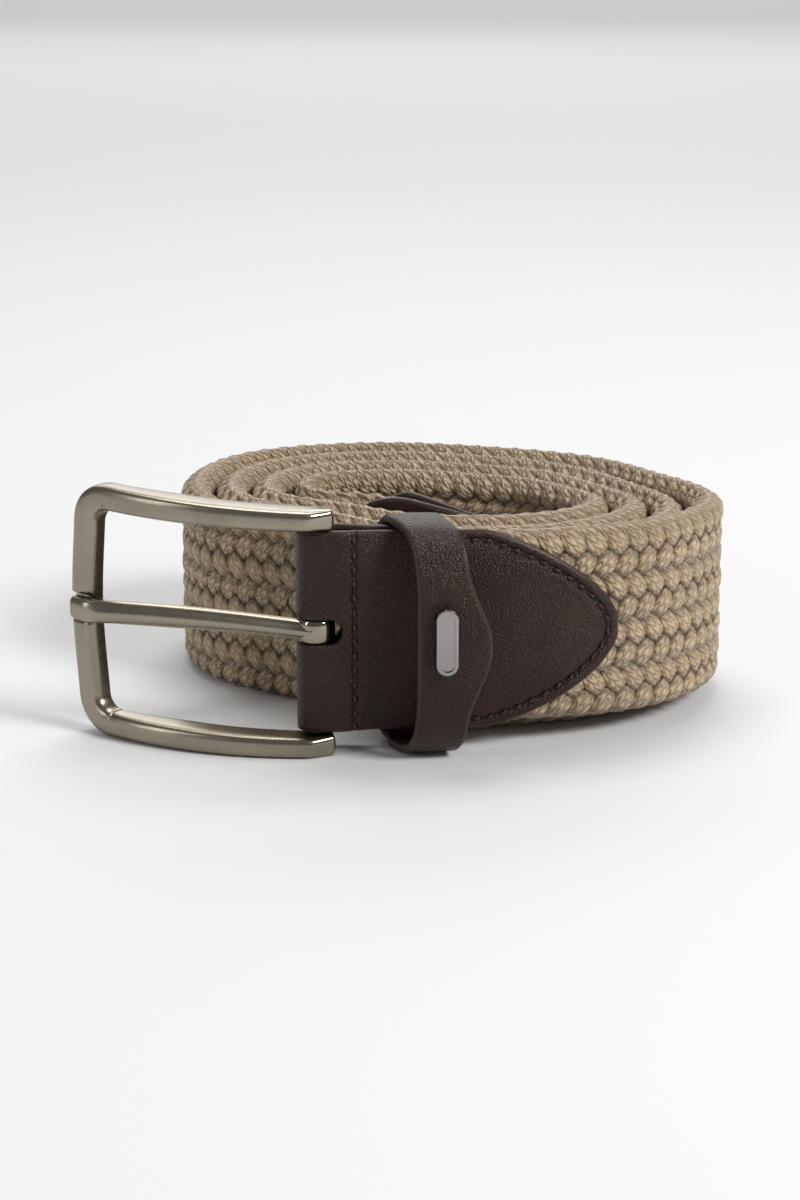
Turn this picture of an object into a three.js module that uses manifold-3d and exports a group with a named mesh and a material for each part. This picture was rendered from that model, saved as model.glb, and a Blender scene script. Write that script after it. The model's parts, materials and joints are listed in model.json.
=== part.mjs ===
// A braided stretch belt, rolled up and standing on its edge, in millimetres with +Z up.
// The buckle end leaves the coil at the front, along -X, and the other end lies inside the coil.
import * as THREE from 'three';
import { mergeVertices } from 'three/addons/utils/BufferGeometryUtils.js';
import Module from 'manifold-3d';

const wasm = await Module();
wasm.setup();

// Driving dimensions of the strap and its leather
const leatherWidth = 35;
const leatherWall = 1.3;
const braidWidth = 34;
const braidThickness = 5;
const pinchedThickness = 3.4;
const pinchLength = 26;
const layGap = 0.3;

// Driving dimensions of the coil: the outer face of its first turn, and the room between turns
const coilCentre = { x: 7, y: 52 };
const coilHalfWidth = 51;
const coilHalfDepth = 45.5;
const sideTurnGap = 1.65;
const frontTurnGap = 3;
const coilTurns = 3.6;
const tailRoom = 0.4;
const tailInset = 0.9;
const tailInsetTurns = 0.14;
const joinAngle = -45;
const inwardEvening = 0.35;
const leadSamples = 240;
const coilSamples = 2400;
const stationsPerTurn = 50;
const tailStations = 15;
const foldSteps = 9;

// Outline of the coil seen from above, as shares of its half width and half depth
const coilOutline = [
  { angle: -45, reach: 1.1 },
  { angle: -15, reach: 1.05 },
  { angle: 15, reach: 0.896 },
  { angle: 45, reach: 0.9 },
  { angle: 75, reach: 0.931 },
  { angle: 105, reach: 1.05 },
  { angle: 135, reach: 1.13 },
  { angle: 165, reach: 1.05 },
  { angle: 195, reach: 0.95 },
  { angle: 225, reach: 0.835 },
  { angle: 255, reach: 0.95 },
  { angle: 285, reach: 1.05 },
];

// Driving dimensions of the buckle end
const heelAxis = { x: -14.1, y: 3.3 };
const leadAngle = 4;
const leadHandle = 26;
const joinHandle = 17;
const settleLength = 165;
const heelStart = 12;
const tabLength = 50.6;
const backTabShort = 7;
const taperLength = 22.5;
const taperFullness = 1.2;
const taperBluntness = 0.55;
const tipBlunt = 0.02;

// Driving dimensions of the inner end
const tailLength = 55;
const tailBraidLength = 38;
const tailTaperLength = 31;
const tailEndGap = 0.3;

// Driving dimensions of the buckle
const pinRadius = 1.7;
const pinGap = 0.3;
const frameReach = 44.7;
const frameHeel = 2.6;
const frameBow = 52.7;
const frameForward = 2.9;
const frameSwingIn = 2;
const frameDepth = 6.2;
const frameEdge = 1.0;
const barHeightHeel = 3.6;
const barHeightFar = 4.6;
const frameSpread = 0.2;
const farBarBulge = 1.5;
const windowGap = 0.25;
const frameCorner = 4.2;
const bossRadius = 2.7;
const notchDepth = 1.6;
const notchGap = 0.4;
const prongHeight = 3.4;
const prongDepth = 3.0;
const prongBow = 1.2;
const prongTipBend = 5.2;
const prongShort = 0.6;
const prongTipShrink = 0.72;
const eyeWall = 1.25;
const slotGap = 0.4;
const slotReach = 1.0;

// Driving dimensions of the keeper
const keeperPlace = 17.6;
const keeperWall = 1.4;
const keeperWidth = 9;
const keeperPointWidth = 2.2;
const keeperPointHeight = 0.56;
const keeperTopGap = 0.5;
const keeperBackGap = 1.6;
const keeperBulge = 6.3;
const keeperSkewFront = 3.4;
const keeperSkewPoint = 1.5;
const keeperSkewBack = 3.4;
const keeperPointStart = 0.02;
const keeperRounding = 3;
const frontRoundness = 0.55;
const backRoundness = 0.28;
const endRoundness = 0.36;
const keeperStations = 56;
const stationSpread = 2.3;
const stationEase = 1.6;
const studSlide = -1.7;
const studRise = 1.6;
const studWidth = 3.8;
const studHeight = 11.5;
const studThickness = 1.3;
const studBevel = 0.35;
const studRim = 0.7;
const studDish = 0.4;

const sidePitch = braidThickness + sideTurnGap;
const frontPitch = braidThickness + frontTurnGap;
const restLift = barHeightHeel + windowGap;
const foldRadius = pinRadius + pinGap + leatherWall / 2;
const eyeRadius = pinRadius + pinGap + eyeWall;
const radians = THREE.MathUtils.degToRad;

const smooth = (t) => {
  const held = THREE.MathUtils.clamp(t, 0, 1);
  return held * held * (3 - 2 * held);
};

// Closed smooth curve through the outline's rows, read at any angle
function outlineReach(angle) {
  const count = coilOutline.length;
  const place = ((((angle - coilOutline[0].angle) / 360) % 1) + 1) % 1 * count;
  const row = Math.floor(place);
  const t = place - row;
  const reach = (step) => coilOutline[(row + step + count) % count].reach;
  const slopeHere = (reach(1) - reach(-1)) / 2;
  const slopeNext = (reach(2) - reach(0)) / 2;
  const rise = reach(1) - reach(0);
  const bend = (3 * rise - 2 * slopeHere - slopeNext) * t * t;
  return reach(0) + slopeHere * t + bend + (slopeHere + slopeNext - 2 * rise) * t * t * t;
}

// Outer face of the strap after so many turns from the join
function outerFace(turns) {
  const angle = joinAngle + 360 * turns;
  const evening = 1 - inwardEvening * turns / coilTurns;
  const reach = 1 + (outlineReach(angle) - 1) * evening;
  const inset = tailInset * smooth((turns - coilTurns + tailInsetTurns) / tailInsetTurns);
  const across = coilHalfWidth * reach - sidePitch * turns - inset;
  const deep = coilHalfDepth * reach - frontPitch * turns - inset;
  return new THREE.Vector2(
    coilCentre.x + across * Math.cos(radians(angle)),
    coilCentre.y + deep * Math.sin(radians(angle)),
  );
}

// Centreline of the strap in the coil, half its thickness inside the outer face
function coilCentreline(turns) {
  const step = 0.002;
  const along = outerFace(turns + step).sub(outerFace(turns - step)).normalize();
  const half = braidThickness / 2;
  const here = outerFace(turns);
  return new THREE.Vector2(here.x - along.y * half, here.y + along.x * half);
}

// A flat path seen from above, read by the distance along it
class PlanPath {
  constructor(points) {
    this.points = points;
    this.travel = [0];
    for (let i = 1; i < points.length; i += 1) {
      this.travel.push(this.travel[i - 1] + points[i].distanceTo(points[i - 1]));
    }
    this.length = this.travel[points.length - 1];
  }

  point(distance) {
    const last = this.points.length - 1;
    let low = 0;
    let high = last;
    while (high - low > 1) {
      const middle = (low + high) >> 1;
      if (this.travel[middle] <= distance) low = middle;
      else high = middle;
    }
    const share = (distance - this.travel[low]) / (this.travel[high] - this.travel[low]);
    return this.points[low].clone().lerp(this.points[high], share);
  }

  // Place, direction and outward normal, which points away from the coil's middle
  at(distance) {
    const reach = 0.4;
    const along = this.point(distance + reach).sub(this.point(distance - reach)).normalize();
    return { place: this.point(distance), along, out: new THREE.Vector2(along.y, -along.x) };
  }
}

// The strap's whole centreline: straight out of the heel, onto the coil, then round it
function strapPath() {
  const heel = new THREE.Vector2(heelAxis.x, heelAxis.y);
  const lead = new THREE.Vector2(Math.cos(radians(leadAngle)), Math.sin(radians(leadAngle)));
  const join = coilCentreline(0);
  const joinDirection = coilCentreline(0.004).sub(coilCentreline(0)).normalize();
  const leadCurve = new THREE.CubicBezierCurve(
    heel,
    heel.clone().addScaledVector(lead, leadHandle),
    join.clone().addScaledVector(joinDirection, -joinHandle),
    join,
  );
  const points = leadCurve.getPoints(leadSamples);
  for (let i = 1; i <= coilSamples; i += 1) {
    points.push(coilCentreline((coilTurns + tailRoom) * i / coilSamples));
  }
  const beforeHeel = heel.clone().addScaledVector(lead, -heelStart);
  return new PlanPath([beforeHeel, ...points]);
}

const path = strapPath();
const joinStart = path.travel[leadSamples + 1];
const turnStart = (turns) => path.travel[
  leadSamples + 1 + Math.round(turns / (coilTurns + tailRoom) * coilSamples)
];
const braidStart = heelStart + eyeRadius + slotReach + layGap;
const tailStart = turnStart(coilTurns);
const braidEnd = tailStart + tailBraidLength;
const tabEnd = heelStart + tabLength;

// Height of the leather's lower edge above the floor, held up by the buckle and settling to the floor
const overhang = (leatherWidth - braidWidth) / 2;
const leatherBottom = (distance) => restLift * smooth(1 - (distance - heelStart) / settleLength)
  - overhang * smooth((distance - heelStart) / settleLength)
  + overhang * smooth(1 - (tailStart - distance) / pinchLength);
const middleHeight = (distance) => leatherBottom(distance) + leatherWidth / 2;

// The braid is squeezed where leather holds it
function braidThicknessAt(distance) {
  const fromTab = smooth((distance - (tabEnd - pinchLength)) / pinchLength);
  const fromTail = smooth((tailStart - distance) / pinchLength);
  return pinchedThickness + (braidThickness - pinchedThickness) * Math.min(fromTab, fromTail);
}

// Joins rings of points into one closed mesh whose faces point out
function loft(rings, closedLoop) {
  const count = rings[0].length;
  const positions = rings.flat().flatMap((p) => [p.x, p.y, p.z]);
  const faces = [];
  const spans = closedLoop ? rings.length : rings.length - 1;
  for (let r = 0; r < spans; r += 1) {
    const next = (r + 1) % rings.length;
    for (let i = 0; i < count; i += 1) {
      const j = (i + 1) % count;
      const [a, b, c, d] = [r * count + i, r * count + j, next * count + j, next * count + i];
      faces.push(a, b, c, a, c, d);
    }
  }
  if (!closedLoop) {
    const last = (rings.length - 1) * count;
    for (let i = 1; i < count - 1; i += 1) {
      faces.push(0, i + 1, i);
      faces.push(last, last + i, last + i + 1);
    }
  }
  const geometry = new THREE.BufferGeometry();
  geometry.setAttribute('position', new THREE.Float32BufferAttribute(positions, 3));
  geometry.setIndex(faces);
  if (signedVolume(geometry) < 0) geometry.setIndex(faces.reverse());
  return geometry;
}

function signedVolume(geometry) {
  const place = geometry.getAttribute('position');
  const index = geometry.getIndex();
  const [a, b, c] = [new THREE.Vector3(), new THREE.Vector3(), new THREE.Vector3()];
  let volume = 0;
  for (let i = 0; i < index.count; i += 3) {
    a.fromBufferAttribute(place, index.getX(i));
    b.fromBufferAttribute(place, index.getX(i + 1));
    c.fromBufferAttribute(place, index.getX(i + 2));
    volume += a.dot(b.cross(c)) / 6;
  }
  return volume;
}

// Solids for cutting and joining
function toSolid(geometry) {
  const bare = geometry.clone();
  bare.deleteAttribute('normal');
  bare.deleteAttribute('uv');
  const merged = mergeVertices(bare, 1e-4);
  return new wasm.Manifold(new wasm.Mesh({
    numProp: 3,
    vertProperties: new Float32Array(merged.getAttribute('position').array),
    triVerts: new Uint32Array(merged.getIndex().array),
  }));
}

function toGeometry(solid) {
  const mesh = solid.getMesh();
  const geometry = new THREE.BufferGeometry();
  geometry.setAttribute('position', new THREE.BufferAttribute(new Float32Array(mesh.vertProperties), 3));
  geometry.setIndex(new THREE.BufferAttribute(new Uint32Array(mesh.triVerts), 1));
  return geometry;
}

function uprightCylinder(radius, bottom, top, sides) {
  const geometry = new THREE.CylinderGeometry(radius, radius, top - bottom, sides);
  geometry.rotateX(Math.PI / 2);
  geometry.translate(heelAxis.x, heelAxis.y, (bottom + top) / 2);
  return geometry;
}

// The woven band: flat sides and round edges with a narrow flat to stand on
function braidStrap() {
  const edgeAngles = [-90, -54, -18, 18, 54, 90];
  const flatTurn = Math.cos(radians(18));
  const stations = [];
  const leadStations = 18;
  for (let i = 0; i < leadStations; i += 1) {
    stations.push(braidStart + (joinStart - braidStart) * i / leadStations);
  }
  const coilStations = Math.ceil(stationsPerTurn * coilTurns);
  for (let i = 0; i < coilStations; i += 1) stations.push(turnStart(coilTurns * i / coilStations));
  for (let i = 0; i <= tailStations; i += 1) {
    stations.push(tailStart + (braidEnd - tailStart) * i / tailStations);
  }
  const rings = stations.map((distance) => {
    const { place, out } = path.at(distance);
    const half = braidThicknessAt(distance) / 2;
    const straight = braidWidth / 2 - half;
    const corner = (angle, side) => {
      const offset = half * Math.sin(radians(angle)) * side;
      const rise = side * (straight + half * Math.cos(radians(angle)) / flatTurn);
      const height = middleHeight(distance) + THREE.MathUtils.clamp(rise, -braidWidth / 2, braidWidth / 2);
      return new THREE.Vector3(place.x + out.x * offset, place.y + out.y * offset, height);
    };
    return [...edgeAngles.map((angle) => corner(angle, 1)), ...edgeAngles.map((angle) => corner(angle, -1))];
  });
  return loft(rings, false);
}

// A leather sheet that runs along one side of the strap, turns round its end and comes back
function foldedSheet({ frontTip, backTip, foldAt, foldForward, offsetAt, halfHeightAt, steps }) {
  const rows = [];
  const run = (from, to, sign) => {
    for (let i = 0; i <= steps; i += 1) {
      const share = (1 - Math.cos(Math.PI * i / steps)) / 2;
      rows.push({ distance: from + (to - from) * share, turn: 0, sign });
    }
  };
  run(frontTip, foldAt, 1);
  for (let i = 1; i < foldSteps; i += 1) {
    rows.push({ distance: foldAt, turn: Math.PI * i / foldSteps, sign: 1 });
  }
  run(foldAt, backTip, -1);
  const half = leatherWall / 2;
  const rings = rows.map(({ distance, turn, sign }) => {
    const { place, along, out } = path.at(distance);
    const face = out.clone().multiplyScalar(sign * Math.cos(turn));
    face.addScaledVector(along, foldForward * Math.sin(turn));
    const middle = middleHeight(distance);
    const tall = halfHeightAt(distance, sign);
    const offset = offsetAt(distance);
    const corner = (shift, rise) => new THREE.Vector3(
      place.x + face.x * (offset + shift),
      place.y + face.y * (offset + shift),
      middle + rise,
    );
    return [corner(half, -tall), corner(half, tall), corner(-half, tall), corner(-half, -tall)];
  });
  return loft(rings, false);
}

// Pointed arch outline of a leather end: half its height, so far from the tip
function archHalfHeight(fromTip, length) {
  const share = THREE.MathUtils.clamp(1 - fromTip / length, 0, 1 - tipBlunt);
  return leatherWidth / 2 * (1 - share ** taperFullness) ** taperBluntness;
}

const sheetOffset = (distance) => braidThicknessAt(distance) / 2 + layGap + leatherWall / 2;

// Leather that folds round the heel pin and holds the braid's end between its two tabs
function leatherChape() {
  const backTip = tabEnd - backTabShort;
  const sheet = foldedSheet({
    frontTip: tabEnd,
    backTip,
    foldAt: heelStart,
    foldForward: -1,
    steps: 36,
    offsetAt: (distance) => {
      const clear = smooth((distance - heelStart) / (2 * foldRadius));
      return foldRadius + (sheetOffset(distance) - foldRadius) * clear;
    },
    halfHeightAt: (distance, sign) => archHalfHeight((sign > 0 ? tabEnd : backTip) - distance, taperLength),
  });
  return toGeometry(toSolid(sheet).subtract(toSolid(prongSlot())));
}

// Long hole through the fold, round at its inner end, that the tongue swings in
function prongSlot() {
  const half = prongHeight / 2 + slotGap;
  const reach = eyeRadius + slotReach;
  const shape = new THREE.Shape();
  shape.moveTo(-3 * foldRadius, -half);
  shape.lineTo(reach - half, -half);
  shape.absarc(reach - half, 0, half, -Math.PI / 2, Math.PI / 2, false);
  shape.lineTo(-3 * foldRadius, half);
  const depth = 6 * foldRadius;
  const geometry = new THREE.ExtrudeGeometry(shape, { depth, bevelEnabled: false, curveSegments: 10 });
  geometry.rotateX(Math.PI / 2);
  geometry.translate(heelAxis.x, heelAxis.y + depth / 2, middleHeight(heelStart));
  return geometry;
}

// Pointed leather end inside the coil, whose two layers close round the braid's last stretch
function tipTab() {
  const tip = tailStart + tailLength;
  const start = tailStart;
  return foldedSheet({
    frontTip: start,
    backTip: start,
    foldAt: tip,
    foldForward: 1,
    steps: 40,
    offsetAt: (distance) => {
      const closed = smooth((distance - braidEnd) / (tip - braidEnd));
      const open = sheetOffset(Math.min(distance, braidEnd));
      return open + (leatherWall / 2 + tailEndGap / 2 - open) * closed;
    },
    halfHeightAt: (distance) => Math.min(
      archHalfHeight(tip - distance, tailTaperLength),
      archHalfHeight(distance - start, taperLength),
    ),
  });
}

// Loop that slides on the strap: flat behind, bulging in front, standing on the floor
function keeperPoint(turn, shift, side) {
  const distance = heelStart + keeperPlace;
  const { place, along, out } = path.at(distance);
  const flat = sheetOffset(distance) + leatherWall / 2;
  const front = flat + keeperBulge + keeperWall / 2;
  const back = flat + keeperBackGap + keeperWall / 2;
  const top = middleHeight(distance) + leatherWidth / 2 + keeperTopGap + keeperWall;
  const tall = (top - keeperWall) / 2;
  const power = (value, exponent) => Math.sign(value) * Math.abs(value) ** exponent;
  const middle = (angle) => {
    const cosine = Math.cos(angle);
    return new THREE.Vector2(
      cosine > 0 ? front * power(cosine, frontRoundness) : back * power(cosine, backRoundness),
      tall * power(Math.sin(angle), endRoundness),
    );
  };
  const step = 0.01;
  const tangent = middle(turn + step).sub(middle(turn - step)).normalize();
  const spot = middle(turn).add(new THREE.Vector2(tangent.y, -tangent.x).multiplyScalar(shift));
  const height = Math.min(Math.abs(middle(turn).y) / tall, 1);
  const before = Math.cos(turn) > 0 ? 1 : 0;
  const pointed = before * smooth(1 - (height - keeperPointStart) / keeperPointHeight);
  const rounded = 1 - height ** keeperRounding;
  const slide = before * (keeperSkewFront * rounded + keeperSkewPoint * pointed)
    - (1 - before) * keeperSkewBack * rounded
    + side * (keeperWidth + keeperPointWidth * pointed) / 2;
  return new THREE.Vector3(
    place.x + along.x * slide + out.x * spot.x,
    place.y + along.y * slide + out.y * spot.x,
    top / 2 + spot.y,
  );
}

// Angle of one of the loop's stations, spread so that they lie evenly along its flat stretches
function keeperTurn(i) {
  const quarter = keeperStations / 4;
  const row = Math.floor(i / quarter);
  const share = (i % quarter + 0.5) / quarter;
  const spread = (f) => f ** stationSpread / (f ** stationSpread + (1 - f) ** stationEase);
  return Math.PI / 2 * (row + (row % 2 ? 1 - spread(1 - share) : spread(share)));
}

function keeperLoop() {
  const rings = [];
  for (let i = 0; i < keeperStations; i += 1) {
    const turn = keeperTurn(i);
    const half = keeperWall / 2;
    rings.push([
      keeperPoint(turn, half, -1),
      keeperPoint(turn, half, 1),
      keeperPoint(turn, -half, 1),
      keeperPoint(turn, -half, -1),
    ]);
  }
  return loft(rings, true);
}

// Plain rounded stud on the keeper's front, with a raised rim
function studShape(inset) {
  const half = studWidth / 2 - inset;
  const straight = studHeight / 2 - studWidth / 2;
  const shape = new THREE.Shape();
  shape.absarc(0, straight, half, 0, Math.PI, false);
  shape.absarc(0, -straight, half, Math.PI, 2 * Math.PI, false);
  return shape;
}

function keeperStud() {
  const body = new THREE.ExtrudeGeometry(studShape(studBevel), {
    depth: studThickness - 2 * studBevel,
    bevelSize: studBevel,
    bevelThickness: studBevel,
    bevelSegments: 2,
    curveSegments: 10,
  });
  body.translate(0, 0, studBevel);
  const dish = new THREE.ExtrudeGeometry(studShape(studRim), {
    depth: studThickness,
    bevelEnabled: false,
    curveSegments: 10,
  });
  dish.translate(0, 0, studThickness - studDish);
  const geometry = toGeometry(toSolid(body).subtract(toSolid(dish)));
  const distance = heelStart + keeperPlace;
  const { along, out } = path.at(distance);
  const seat = keeperPoint(0, keeperWall / 2, 0);
  const across = new THREE.Vector3(along.x, along.y, 0);
  const outward = new THREE.Vector3(out.x, out.y, 0);
  const turn = new THREE.Matrix4().makeBasis(across, new THREE.Vector3(0, 0, 1), outward);
  geometry.applyMatrix4(turn);
  seat.addScaledVector(across, studSlide).addScaledVector(outward, layGap);
  geometry.translate(seat.x, seat.y, seat.z + studRise);
  return geometry;
}

// Place on the bowed frame: so far from the heel, and so far in front of the bars' middle
const bowCentre = {
  x: heelAxis.x - frameSwingIn,
  y: heelAxis.y - frameForward + frameBow,
};
const heelTurn = Math.asin(frameSwingIn / frameBow);
function bowPoint(reach, forward) {
  const turn = heelTurn - reach / frameBow;
  const radius = frameBow + forward;
  return new THREE.Vector2(bowCentre.x + radius * Math.sin(turn), bowCentre.y - radius * Math.cos(turn));
}

const barHeight = (reach) => THREE.MathUtils.lerp(barHeightHeel, barHeightFar, reach / frameReach);
const windowHeight = leatherWidth + 2 * windowGap;
const frameTop = (reach) => barHeightHeel * 2 + windowHeight
  + (2 * (barHeightFar - barHeightHeel) + frameSpread) * reach / frameReach;

// The bars' centreline in the bow's own plane, from the lower heel end round to the upper one
function frameCentreline() {
  const stops = [];
  const farCentre = frameReach - farBarBulge - barHeightFar / 2;
  const straightSteps = 12;
  const cornerSteps = 7;
  const barEnd = farCentre - frameCorner;
  const lowMiddle = (reach) => barHeight(reach) / 2;
  const highMiddle = (reach) => frameTop(reach) - barHeight(reach) / 2;
  for (let i = 0; i < straightSteps; i += 1) {
    const reach = -frameHeel + (barEnd + frameHeel) * i / straightSteps;
    stops.push({ reach, rise: lowMiddle(reach) });
  }
  const corner = (centreRise, from) => {
    for (let i = 0; i <= cornerSteps; i += 1) {
      const turn = from + Math.PI / 2 * i / cornerSteps;
      stops.push({
        reach: barEnd + frameCorner * Math.cos(turn),
        rise: centreRise + frameCorner * Math.sin(turn),
      });
    }
  };
  corner(lowMiddle(barEnd) + frameCorner, -Math.PI / 2);
  const lowEnd = lowMiddle(barEnd) + frameCorner;
  const highEnd = highMiddle(barEnd) - frameCorner;
  const farSteps = 6;
  for (let i = 1; i < farSteps; i += 1) {
    stops.push({ reach: farCentre, rise: lowEnd + (highEnd - lowEnd) * i / farSteps });
  }
  corner(highEnd, 0);
  for (let i = straightSteps - 1; i >= 0; i -= 1) {
    const reach = -frameHeel + (barEnd + frameHeel) * i / straightSteps;
    stops.push({ reach, rise: highMiddle(reach) });
  }
  const halfTall = frameTop(frameReach) / 2;
  return stops.map(({ reach, rise }) => {
    const share = (rise - halfTall) / halfTall;
    return { reach: reach + farBarBulge * Math.cos(Math.PI / 2 * share) ** 2, rise };
  });
}

function buckleFrame() {
  const stops = frameCentreline();
  const depth = frameDepth / 2;
  const rings = stops.map((stop, i) => {
    const before = stops[Math.max(i - 1, 0)];
    const after = stops[Math.min(i + 1, stops.length - 1)];
    const run = new THREE.Vector2(after.reach - before.reach, after.rise - before.rise).normalize();
    const half = barHeight(stop.reach) / 2;
    const corner = (inward, forward) => {
      const reach = stop.reach - run.y * inward;
      const spot = bowPoint(reach, forward);
      return new THREE.Vector3(spot.x, spot.y, stop.rise + run.x * inward);
    };
    return [
      corner(-half, -depth + frameEdge),
      corner(-half + frameEdge, -depth),
      corner(half - frameEdge, -depth),
      corner(half, -depth + frameEdge),
      corner(half, depth - frameEdge),
      corner(half - frameEdge, depth),
      corner(-half + frameEdge, depth),
      corner(-half, depth - frameEdge),
    ];
  });
  const top = frameTop(0);
  let solid = toSolid(loft(rings, false));
  solid = solid.add(toSolid(uprightCylinder(pinRadius, barHeightHeel / 2, top - barHeightHeel / 2, 20)));
  solid = solid.add(toSolid(uprightCylinder(bossRadius, frameEdge / 2, barHeightHeel, 20)));
  solid = solid.add(toSolid(uprightCylinder(bossRadius, top - barHeightHeel, top - frameEdge / 2, 20)));
  return toGeometry(solid.subtract(toSolid(tongueNotch())));
}

// Box cut in the far bar's front, where the tongue's tip comes to rest
function tongueNotch() {
  const floor = frameDepth / 2 - notchDepth;
  const half = prongHeight / 2 + notchGap;
  const middle = prongMiddle(frameReach);
  const rings = [];
  for (let i = 0; i <= 4; i += 1) {
    const reach = frameReach - barHeightFar * 1.5 + barHeightFar * 2 * i / 4;
    const inner = bowPoint(reach, floor);
    const outer = bowPoint(reach, frameDepth);
    rings.push([
      new THREE.Vector3(inner.x, inner.y, middle - half),
      new THREE.Vector3(inner.x, inner.y, middle + half),
      new THREE.Vector3(outer.x, outer.y, middle + half),
      new THREE.Vector3(outer.x, outer.y, middle - half),
    ]);
  }
  return loft(rings, false);
}

const prongMiddle = (reach) => {
  const share = reach / frameReach;
  return THREE.MathUtils.lerp(middleHeight(heelStart), frameTop(frameReach) / 2, share);
};

// The tongue: an eye round the heel pin and a shank that crosses the window to the far bar
function buckleProng() {
  const seat = frameDepth / 2 - notchDepth + layGap + prongDepth / 2;
  const root = new THREE.Vector2(heelAxis.x, heelAxis.y - eyeRadius + prongDepth / 2);
  const bendPlace = frameReach - prongTipBend;
  const bend = bowPoint(bendPlace, seat);
  const chord = bend.clone().sub(root);
  const side = new THREE.Vector2(chord.y, -chord.x).normalize().negate();
  const stops = [];
  const shankSteps = 12;
  for (let i = 0; i <= shankSteps; i += 1) {
    const share = i / shankSteps;
    const spot = root.clone().addScaledVector(chord, share);
    spot.addScaledVector(side, -prongBow * 4 * share * (1 - share));
    stops.push({ spot, rise: prongMiddle(bendPlace * share) });
  }
  for (let i = 1; i <= 3; i += 1) {
    const reach = bendPlace + (prongTipBend - prongShort) * i / 3;
    stops.push({ spot: bowPoint(reach, seat), rise: prongMiddle(reach) });
  }
  const last = stops.length - 1;
  const rings = stops.map(({ spot, rise }, i) => {
    const before = stops[Math.max(i - 1, 0)].spot;
    const after = stops[Math.min(i + 1, last)].spot;
    const along = after.clone().sub(before).normalize();
    const out = new THREE.Vector2(-along.y, along.x);
    const shrink = i === last ? prongTipShrink : 1;
    const half = prongHeight / 2 * shrink;
    const deep = prongDepth / 2 * shrink;
    const ring = [];
    for (let k = 0; k < 8; k += 1) {
      const turn = Math.PI * (k + 0.5) / 4;
      const wide = 1 / Math.cos(Math.PI / 8);
      const forward = deep * Math.cos(turn) * wide;
      const up = half * Math.sin(turn) * wide;
      ring.push(new THREE.Vector3(spot.x + out.x * forward, spot.y + out.y * forward, rise + up));
    }
    return ring;
  });
  const low = middleHeight(heelStart) - prongHeight / 2;
  const eye = toSolid(uprightCylinder(eyeRadius, low, low + prongHeight, 24));
  const bore = toSolid(uprightCylinder(pinRadius + pinGap, low - prongHeight, low + 2 * prongHeight, 24));
  return toGeometry(eye.add(toSolid(loft(rings, false))).subtract(bore));
}

const finishes = {
  braid: new THREE.MeshStandardMaterial({ color: 0xa5917a, roughness: 0.9, metalness: 0 }),
  leather: new THREE.MeshStandardMaterial({ color: 0x3a2a28, roughness: 0.5, metalness: 0 }),
  satinMetal: new THREE.MeshStandardMaterial({ color: 0x8a8378, roughness: 0.35, metalness: 1 }),
  brightMetal: new THREE.MeshStandardMaterial({ color: 0xc8c8c8, roughness: 0.15, metalness: 1 }),
};

const belt = new THREE.Group();
const pieces = [
  { name: 'braid_strap', geometry: braidStrap(), material: finishes.braid },
  { name: 'leather_chape', geometry: leatherChape(), material: finishes.leather },
  { name: 'tip_tab', geometry: tipTab(), material: finishes.leather },
  { name: 'keeper_loop', geometry: keeperLoop(), material: finishes.leather },
  { name: 'keeper_stud', geometry: keeperStud(), material: finishes.brightMetal },
  { name: 'buckle_frame', geometry: buckleFrame(), material: finishes.satinMetal },
  { name: 'buckle_prong', geometry: buckleProng(), material: finishes.satinMetal },
];
for (const { name, geometry, material } of pieces) {
  const mesh = new THREE.Mesh(geometry, material);
  mesh.name = name;
  belt.add(mesh);
}

// The origin is the middle of the belt's footprint, on the floor
const box = new THREE.Box3().setFromObject(belt);
belt.position.set(-(box.min.x + box.max.x) / 2, -(box.min.y + box.max.y) / 2, -box.min.z);

export default belt;
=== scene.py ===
import json
import math
import bmesh
import bpy
import numpy as np
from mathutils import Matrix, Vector


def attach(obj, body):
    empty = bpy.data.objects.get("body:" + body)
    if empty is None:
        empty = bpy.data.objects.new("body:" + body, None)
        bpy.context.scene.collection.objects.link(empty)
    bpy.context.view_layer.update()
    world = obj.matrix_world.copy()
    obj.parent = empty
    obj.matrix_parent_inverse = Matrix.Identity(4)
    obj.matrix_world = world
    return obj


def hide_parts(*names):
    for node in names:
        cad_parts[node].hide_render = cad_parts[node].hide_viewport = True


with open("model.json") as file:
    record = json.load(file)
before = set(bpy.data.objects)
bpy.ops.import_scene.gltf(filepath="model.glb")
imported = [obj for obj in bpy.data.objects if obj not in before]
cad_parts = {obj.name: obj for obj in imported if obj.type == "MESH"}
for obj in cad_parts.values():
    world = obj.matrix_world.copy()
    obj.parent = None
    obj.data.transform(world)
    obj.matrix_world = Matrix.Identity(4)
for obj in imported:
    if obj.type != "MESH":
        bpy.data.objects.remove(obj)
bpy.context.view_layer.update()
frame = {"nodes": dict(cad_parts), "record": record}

mm = 0.001

# The strap's path, from the same values as the solids, in millimetres
strap = {
    "leatherWidth": 35, "leatherWall": 1.3, "braidWidth": 34, "braidThickness": 5.0, "pinchedThickness": 3.4,
    "pinchLength": 26, "layGap": 0.3, "coilX": 7, "coilY": 52, "halfWidth": 51, "halfDepth": 45.5,
    "sidePitch": 6.65, "frontPitch": 8.0, "turns": 3.6, "tailRoom": 0.4, "joinAngle": -45, "evening": 0.35,
    "tailInset": 0.9, "tailInsetTurns": 0.14,
    "heelX": -14.1, "heelY": 3.3, "leadAngle": 4, "leadHandle": 26, "joinHandle": 17, "heelStart": 12,
    "restLift": 3.85, "settleLength": 165, "tabLength": 50.6, "backTabShort": 7,
    "taperLength": 22.5, "taperFullness": 1.2, "taperBluntness": 0.55,
    "tailLength": 55, "tailBraid": 38, "tailTaper": 31, "tailEndGap": 0.3,
    "outline": [1.1, 1.05, 0.896, 0.9, 0.931, 1.05, 1.13, 1.05, 0.95, 0.835, 0.95, 1.05],
}
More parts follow.
